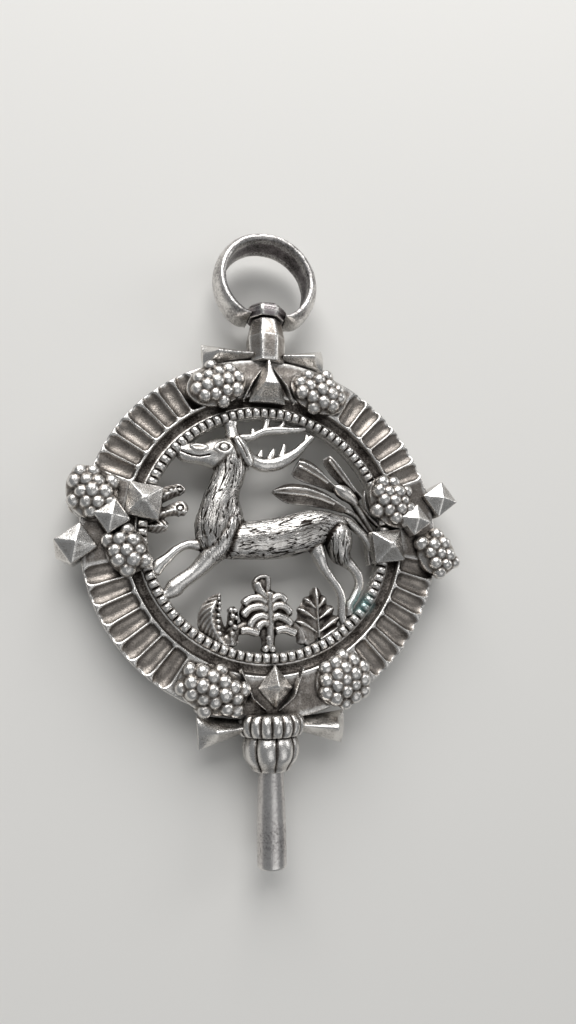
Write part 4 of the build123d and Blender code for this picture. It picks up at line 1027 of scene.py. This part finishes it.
# Knobs on the front as shares of the window's radius: x, y, height and radius
KNOBS = {
    "left_leaf_spray": [
        (-0.915, 0.277, 0.034, 0.023), (-0.818, 0.32, 0.034, 0.023), (-0.778, 0.332, 0.034, 0.021),
        (-0.915, 0.247, 0.034, 0.019), (-0.919, 0.2, 0.034, 0.019),
    ],
    "left_ground_leaf": [
        (-0.423, -0.559, 0.042, 0.015), (-0.418, -0.601, 0.042, 0.017), (-0.419, -0.646, 0.042, 0.018),
        (-0.426, -0.694, 0.042, 0.018), (-0.429, -0.741, 0.042, 0.02), (-0.425, -0.789, 0.042, 0.02),
        (-0.416, -0.839, 0.042, 0.02), (-0.326, -0.653, 0.042, 0.023), (-0.288, -0.656, 0.042, 0.02),
        (-0.312, -0.701, 0.042, 0.023), (-0.279, -0.717, 0.042, 0.019), (-0.328, -0.755, 0.042, 0.023),
        (-0.292, -0.79, 0.042, 0.023), (-0.315, -0.841, 0.042, 0.023),
    ],
    "ground_palmette": [
        (-0.009, -0.537, 0.038, 0.026), (-0.011, -0.881, 0.038, 0.031), (-0.039, -0.968, 0.038, 0.031),
        (0.014, -0.969, 0.038, 0.031),
    ],
}
# Lines on the leaves, written as the stag's
LEAF_LINES = {
    "right_leaf_spray": [
        ([(0.06, 0.346), (0.19, 0.336), (0.327, 0.331), (0.463, 0.3), (0.584, 0.258)], 0.13, 0.13),
        ([(0.28, 0.578), (0.363, 0.541), (0.445, 0.497), (0.528, 0.444)], 0.13, 0.13),
        ([(0.56, 0.648), (0.632, 0.552), (0.707, 0.461), (0.783, 0.377)], 0.12, 0.13),
    ],
    "left_leaf_spray": [
        (circle(-0.745, 0.338, 0.026), 0.09, -0.16),
        (circle(-0.743, 0.18, 0.029), 0.09, -0.16),
    ],
}
# Leaf pieces: rounds of softening, and the height over the middle plane under which they hold oxide. It
# comes in over a fade, up to a share of full black
HOLLOW_FADE, HOLLOW_OXIDE = 0.4, 0.75
LEAF_CASTINGS = {
    "right_leaf_spray": (2, 0.78), "left_leaf_spray": (2, 0.5), "left_ground_leaf": (2, 0.55),
    "ground_palmette": (2, 0.74), "right_ground_leaf": (3, 0.66),
}
# Bunches as shares of the rim's radius: x, y, half length, half width, then the tilt in degrees
CLUSTERS = {
    "top_left": (-0.30, 0.815, 0.185, 0.13, 20),
    "top_right": (0.30, 0.815, 0.19, 0.13, -20),
    "bottom_left": (-0.315, -0.83, 0.20, 0.13, -22),
    "bottom_right": (0.39, -0.80, 0.175, 0.14, 30),
    "left_upper": (-0.94, 0.17, 0.165, 0.135, 121),
    "left_lower": (-0.76, -0.125, 0.132, 0.115, 121),
    "right_upper": (0.725, 0.185, 0.18, 0.132, 121),
    "right_lower": (0.99, -0.115, 0.14, 0.124, 121),
}
# Pieces worn down from their nodes: rounds of softening and the seed of their dents
WORN_NODES = {
    "centre_stud_left": (26, 3), "centre_stud_right": (26, 4), "bottom_kite": (9, 6),
    "top_leaf_left": (9, 7), "top_leaf_right": (9, 8),
    "calyx_leaf_left": (9, 9), "calyx_leaf_right": (9, 10),
}
# Studs that are worn down in the round, each with its seed
WORN_ROUND_NODES = {"outer_stud_left": 11, "outer_stud_right": 12}
# Square studs and the angle of their sides in degrees
BLOCK_STUDS = {"inner_stud_left": -8, "inner_stud_right": 6}
# Their rows from the foot up: half side as a share, height as a share, and how far the row lies under that
STUD = [(0.86, 0, 0.2), (0.88, 0.2, 0), (0.85, 0.46, 0), (0.16, 0.97, 0), (0.06, 1, 0)]
# The top kite, from its point down: share of its length, half width, half width of its crest and height
KITE = [
    (0.0, 0.16, 0.05, 0.55), (0.35, 0.50, 0.14, 0.78), (0.64, 0.78, 0.34, 0.98), (0.70, 0.84, 0.40, 0.98),
    (0.86, 0.93, 0.50, 0.50), (1.0, 1.0, 0.58, 0.15),
]
# Flared bars: outer end as shares of the rim's radius, half width there, rise over the rim's face and hip
BARS = {
    "top_bar_left": (-0.375, 1.0, 1.6, 1.42, 1.7),
    "top_bar_right": (0.345, 1.03, 1.6, 1.42, 1.5),
    "bottom_wedge_left": (-0.385, -1.045, 1.75, 1.3, 1.8),
    "bottom_wedge_right": (0.40, -1.05, 1.75, 1.3, 1.0),
}
# Their feet beside the collar and beside the neck: aside of the axis, and out from the rim
BAR_FEET = ((2.6, 0.5), (1.7, 0.5))
# Turned pieces as turned_rows reads them: end, way from it, radius and, where it has lobes, their depth
NECK = [
    (0, 0, 2.0), (0, 0.1, 2.0), (1, -3.1, 2.15), (1, -2.32, 2.19), (1, -2.2, 2.18), (1, -2.08, 2.14),
    (1, -0.08, 1.72), (1, 0, 1.66), (1, 0, 0.78), (1, -0.05, 0.74), (0, 3.2, 0.74), (0, 3.2, 1.19),
    (0, 0, 1.19),
]
COLLAR = [
    (0, 0, 1.6, 0), (0, 0, 3.0, 0.6), (0, 0.35, 3.45, 1), (0, 0.8, COLLAR_PEAK, 1),
    (0, 1.4, COLLAR_PEAK, 1), (0, 1.85, 3.45, 1), (1, 0, 3.0, 0.6), (1, 0, 1.6, 0),
]
BULB = [
    (0, 0, 1.2, 0), (0, 0, 1.85, 0.4), (0, 0.5, 2.25, 1), (0, 1.3, 2.85, 1), (0, 2.2, 3.03, 1),
    (0, 3.0, 2.9, 1), (1, 0, 2.5, 0.8), (1, 0, 1.2, 0),
]
KNOB = [
    (0, 1.2, 0.05), (0, 1.2, 0.7), (0, 0, 0.7), (0, 0, 2.0), (0, 0.12, 2.1), (0, 0.5, 2.32), (0, 1.0, 2.34),
    (0, 1.3, 2.2), (0, 1.65, 1.85), (0, 1.9, 1.4), (1, 0, 1.05), (1, 0, 0.05),
]
# The pipe from its tenon in the bulb down to its mouth at y = 0 and up its socket: y and radius
PIPE = [
    (BULB_HIGH[1] + 0.8, 0.9), (BULB_LOW[1] + 0.02, 0.95), (BULB_LOW[1] + 0.02, 1.27), (9.0, 1.29),
    (6.5, 1.40), (4.4, 1.49), (1.0, 1.5), (0.12, 1.49), (0.0, 1.42), (0.0, 1.06), (0.08, 0.76), (6.0, 0.75),
]
# Cells of the cast skins, from facets to rounded work
FINE_GRAIN, MIDDLE_GRAIN, BROAD_GRAIN = 0.07, 0.08, 0.1

# The stage, in metres: plain warm grey paper under an even cool sky
FLOOR_COLOUR, FLOOR_ROUGHNESS = "#dedcd8", 0.9
SKY_COLOUR, SKY_STRENGTH = "#d9dcdf", 0.34
FLOOR_REACH = 1.2
LIGHT_DISTANCE = 0.4
# Lights: azimuth and elevation in degrees, power in watts and size in metres
LIGHTS = {
    "window_light": (100, 38, 1.8, 0.36),
    "fill_light": (-60, 60, 0.2, 0.3),
    "side_light": (20, 25, 0.2, 0.15),
}
# The camera that was fitted to the photograph: its place and axes, and its lens and sensor in millimetres
CAMERA_PLACE = (-16.59, 22.61, 69.41)
CAMERA_RIGHT = (0.9654708789, -0.0181583775, 0.2598773851)
CAMERA_UP = (-0.0323162650, 0.9815145543, 0.1886394410)
CAMERA_BACK = (-0.2584988220, -0.1905241533, 0.9470369085)
CAMERA_LENS, CAMERA_SENSOR = 22.85, 36.0


# Settings, operators and panel


class KeySizes(bpy.types.PropertyGroup):
    """Sizes that a user would change."""

    flute_depth: bpy.props.FloatProperty(
        name="Flute Depth", description="Depth of the scoops", default=0.62 * MM, min=0.0, unit="LENGTH"
    )
    bead_count: bpy.props.IntProperty(name="Beads", description="Beads in each ring", default=92, min=12)
    grape_radius: bpy.props.FloatProperty(
        name="Grape Size", description="Radius of one grape", default=0.85 * MM, min=0.2 * MM, unit="LENGTH"
    )
    wear: bpy.props.FloatProperty(
        name="Dents", description="Height of the uneven skin", default=0.03 * MM, min=0.0, unit="LENGTH"
    )


class KeyFinish(bpy.types.PropertyGroup):
    """Colours that a user would change."""

    bright: bpy.props.FloatVectorProperty(
        name="Rubbed Silver", description="Where it is rubbed", subtype="COLOR", default=linear("#e2dfdb")
    )
    dull: bpy.props.FloatVectorProperty(
        name="Dull Silver", description="On the toned faces", subtype="COLOR", default=linear("#98918a")
    )
    # this colour also paints the shade on the bow's inner face
    oxide: bpy.props.FloatVectorProperty(
        name="Oxide", description="In the recesses", subtype="COLOR", default=linear("#241f1c")
    )
    tube: bpy.props.FloatVectorProperty(
        name="Tarnish", description="On the pipe and the bow", subtype="COLOR", default=linear("#8c8586")
    )


def sizes():
    """The sizes that are set in the scene."""
    return bpy.context.scene.watchkey_sizes


class RimOperator(bpy.types.Operator):
    """Build the fluted rim and both bead rings"""

    bl_idname = "watchkey.rim"
    bl_label = "Rim and Beads"

    def execute(self, context):
        put_piece("rim_frame", hand_worked(rim_form(sizes()), wave=1.4, seed=20), hollow=0.5)
        put_both_sides("bead_ring", bead_form(sizes()))
        return {"FINISHED"}


class StagOperator(bpy.types.Operator):
    """Build the leaping stag"""

    bl_idname = "watchkey.stag"
    bl_label = "Stag"

    def execute(self, context):
        furry = [bar_in_window(rows) for rows in (STAG_TRUNK, STAG_THROAT, STAG_HAUNCH)]
        head, limbs = bar_in_window(STAG_HEAD), [bar_in_window(rows) for rows in STAG_LIMBS]
        tubes = [swept(rows, count=60, turns=36) for rows in (*furry, head)]
        tubes += [swept(rows, count=40, turns=20) for rows in limbs]
        form = fused(tubes, BROAD_GRAIN, rounds=3, seed=21)
        form = chased(form, lines_in_window(STAG_LINES))
        flow, hair = hair_of(form[0], furry, [head, *limbs])
        mesh = put_piece("stag", form, "engraved_cast_silver").data
        put_value(mesh, "hair", hair)
        mesh.attributes.new("hair_flow", "FLOAT_VECTOR", "POINT").data.foreach_set("vector", flow.ravel())
        return {"FINISHED"}


class LeavesOperator(bpy.types.Operator):
    """Build the sprays and the leaves of the ground"""

    bl_idname = "watchkey.leaves"
    bl_label = "Leaves"

    def execute(self, context):
        for seed, (node, (rounds, hollow_under)) in enumerate(LEAF_CASTINGS.items(), 30):
            forms = [leaf(in_window(rows), ridge, vein) for ridge, vein, rows in LEAVES.get(node, [])]
            forms += [swept(bar_in_window(rows), count=40, turns=16) for rows in STEMS.get(node, [])]
            if node in KNOBS:
                knobs = np.vstack([in_window(side) for side in both_sides(KNOBS[node])])
                forms += [ball(knob[:3], knob[3]) for knob in knobs]
            form = fused(forms, MIDDLE_GRAIN, rounds, seed)
            form[3] = np.clip((hollow_under - np.abs(form[0][:, 2])) / HOLLOW_FADE, 0, 1) * HOLLOW_OXIDE
            put_piece(node, chased(form, lines_in_window(LEAF_LINES.get(node, []))))
        return {"FINISHED"}


class BunchesOperator(bpy.types.Operator):
    """Build the bunches of grapes on both faces"""

    bl_idname = "watchkey.bunches"
    bl_label = "Grape Bunches"

    def execute(self, context):
        for seed, (place, (*shares, tilt)) in enumerate(CLUSTERS.items()):
            x, y, half_long, half_wide = np.array(shares) * RIM_RADIUS
            form = bunch_form(x, CENTRE_Y + y, half_long, half_wide, tilt, sizes().grape_radius / MM, seed)
            put_both_sides("grapes_" + place, fused([form], BROAD_GRAIN, rounds=4, seed=40 + seed))
        return {"FINISHED"}


class StudsOperator(bpy.types.Operator):
    """Build the faceted studs, kites, leaves and bars"""

    bl_idname = "watchkey.studs"
    bl_label = "Studs and Kites"

    def execute(self, context):
        faceted = "faceted_cast_silver"
        for node, (rounds, seed) in WORN_NODES.items():
            put_both_sides(node, worn_copy(node + "_front", FINE_GRAIN, rounds, seed), faceted)
        for seed, (node, turn) in enumerate(BLOCK_STUDS.items(), 1):
            form = fused([stud_form(node + "_front", turn)], FINE_GRAIN, rounds=7, seed=seed)
            put_both_sides(node, form, faceted)
        put_both_sides("top_kite", fused([kite_form()], FINE_GRAIN, rounds=6, seed=5), faceted)
        for node, seed in WORN_ROUND_NODES.items():
            put_piece(node, worn_copy(node, MIDDLE_GRAIN, rounds=9, seed=seed), faceted)
        for seed, (node, (x, y, half_width, rise, hip)) in enumerate(BARS.items(), 60):
            aside, out = BAR_FEET[y > 0]
            foot = (math.copysign(aside, x), CENTRE_Y + math.copysign(RIM_RADIUS + out, y))
            form = bar_form(foot, (x * RIM_RADIUS, CENTRE_Y + y * RIM_RADIUS), half_width, rise, hip)
            put_piece(node, fused([form], MIDDLE_GRAIN, rounds=3, seed=seed), faceted)
        return {"FINISHED"}


class StemOperator(bpy.types.Operator):
    """Build the neck, the collar, the bulb and the winding pipe"""

    bl_idname = "watchkey.stem"
    bl_label = "Stem"

    def execute(self, context):
        neck = round_form(turned_rows("neck_post", NECK), shape=partial(octagon, over=1.4), ring=True)
        collar = round_form(turned_rows("collar", COLLAR), lobes=18, groove=0.1, smooth=48)
        bulb = round_form(turned_rows("bulb", BULB), lobes=8, groove=0.13, smooth=64)
        for seed, (node, form) in enumerate((("neck_post", neck), ("collar", collar), ("bulb", bulb)), 50):
            put_piece(node, hand_worked(form, wave=1.3, seed=seed))
        put_piece("winding_pipe", round_form(PIPE, shape=socket), "drawn_tube_silver")
        return {"FINISHED"}


class BowOperator(bpy.types.Operator):
    """Build the bow ring and its knob, and give the swivel pin its finish"""

    bl_idname = "watchkey.bow"
    bl_label = "Bow"

    def execute(self, context):
        put_piece("bow_ring", hand_worked(bow_form(), wave=1.5, seed=60), "rubbed_silver")
        knob = round_form(turned_rows("bow_knob", KNOB), shape=partial(octagon, over=0.9))
        put_piece("bow_knob", hand_worked(knob, wave=1.3, seed=61), "rubbed_silver")
        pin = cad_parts["swivel_pin"].data
        pin.materials.clear()
        pin.materials.append(finish("drawn_tube_silver"))
        return {"FINISHED"}


class StageOperator(bpy.types.Operator):
    """Set the floor, the light and the camera"""

    bl_idname = "watchkey.stage"
    bl_label = "Stage"

    def execute(self, context):
        scene = context.scene
        lowest = min(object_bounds()[0][2], CAD_BOUNDS[0][2])
        corners = [
            (x * FLOOR_REACH, y * FLOOR_REACH, lowest) for x, y in ((-1, -1), (1, -1), (1, 1), (-1, 1))
        ]
        floor_mesh = bpy.data.meshes.new("pale_floor")
        floor_mesh.from_pydata(corners, [], [(0, 1, 2, 3)])
        # uncoated paper: pale, even and without gloss
        paper = bpy.data.materials.new("matt_paper")
        paper.use_nodes = True
        surface = paper.node_tree.nodes["Principled BSDF"].inputs
        surface["Base Color"].default_value = [*linear(FLOOR_COLOUR), 1.0]
        surface["Roughness"].default_value = FLOOR_ROUGHNESS
        floor_mesh.materials.append(paper)
        floor = put_object("pale_floor", floor_mesh)
        floor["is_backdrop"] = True
        scene.world = bpy.data.worlds.new("soft_studio")
        scene.world.use_nodes = True
        sky = scene.world.node_tree.nodes["Background"].inputs
        sky["Color"].default_value = [*linear(SKY_COLOUR), 1.0]
        sky["Strength"].default_value = SKY_STRENGTH
        middle = Matrix.Translation((0, CENTRE_Y * MM, 0))
        for name, (azimuth, elevation, power, spread) in LIGHTS.items():
            lamp = bpy.data.lights.new(name, "AREA")
            lamp.energy = power
            lamp.size = spread
            turn = Matrix.Rotation(math.radians(azimuth), 4, "Z")
            tip = Matrix.Rotation(math.radians(90 - elevation), 4, "Y")
            away = Matrix.Translation((0, 0, LIGHT_DISTANCE))
            put_object(name, lamp).matrix_world = middle @ turn @ tip @ away
        lens = bpy.data.cameras.new("photo_view")
        lens.sensor_fit = "AUTO"
        lens.sensor_width = CAMERA_SENSOR
        lens.lens = CAMERA_LENS
        lens.clip_start = MM
        scene.camera = put_object("photo_view", lens)
        spin = Matrix((CAMERA_RIGHT, CAMERA_UP, CAMERA_BACK)).transposed().to_4x4()
        scene.camera.matrix_world = Matrix.Translation([length * MM for length in CAMERA_PLACE]) @ spin
        scene.view_settings.view_transform = "Standard"
        return {"FINISHED"}


OPERATORS = (
    RimOperator, StagOperator, LeavesOperator, BunchesOperator, StudsOperator, StemOperator, BowOperator,
    StageOperator,
)


class KeyPanel(bpy.types.Panel):
    """Sizes, colours and steps of the watch key"""

    bl_idname = "WATCHKEY_PT_panel"
    bl_label = "Watch Key"
    bl_space_type = "VIEW_3D"
    bl_region_type = "UI"
    bl_category = "Watch Key"

    def draw(self, context):
        for group in (context.scene.watchkey_sizes, context.scene.watchkey_finish):
            for name in type(group).__annotations__:
                self.layout.prop(group, name)
        for operator in OPERATORS:
            self.layout.operator(operator.bl_idname)


def register():
    """Register the classes and hang the settings on the scene."""
    for kind in (KeySizes, KeyFinish, *OPERATORS, KeyPanel):
        bpy.utils.register_class(kind)
    bpy.types.Scene.watchkey_sizes = bpy.props.PointerProperty(type=KeySizes)
    bpy.types.Scene.watchkey_finish = bpy.props.PointerProperty(type=KeyFinish)


def unregister():
    """Take the settings and the classes off again."""
    del bpy.types.Scene.watchkey_finish
    del bpy.types.Scene.watchkey_sizes
    for kind in (KeyPanel, *reversed(OPERATORS), KeyFinish, KeySizes):
        bpy.utils.unregister_class(kind)


def main():
    """Register the add-on and run its steps in order."""
    register()
    for operator in OPERATORS:
        group, step = operator.bl_idname.split(".")
        getattr(getattr(bpy.ops, group), step)()


if __name__ == "__main__":
    main()
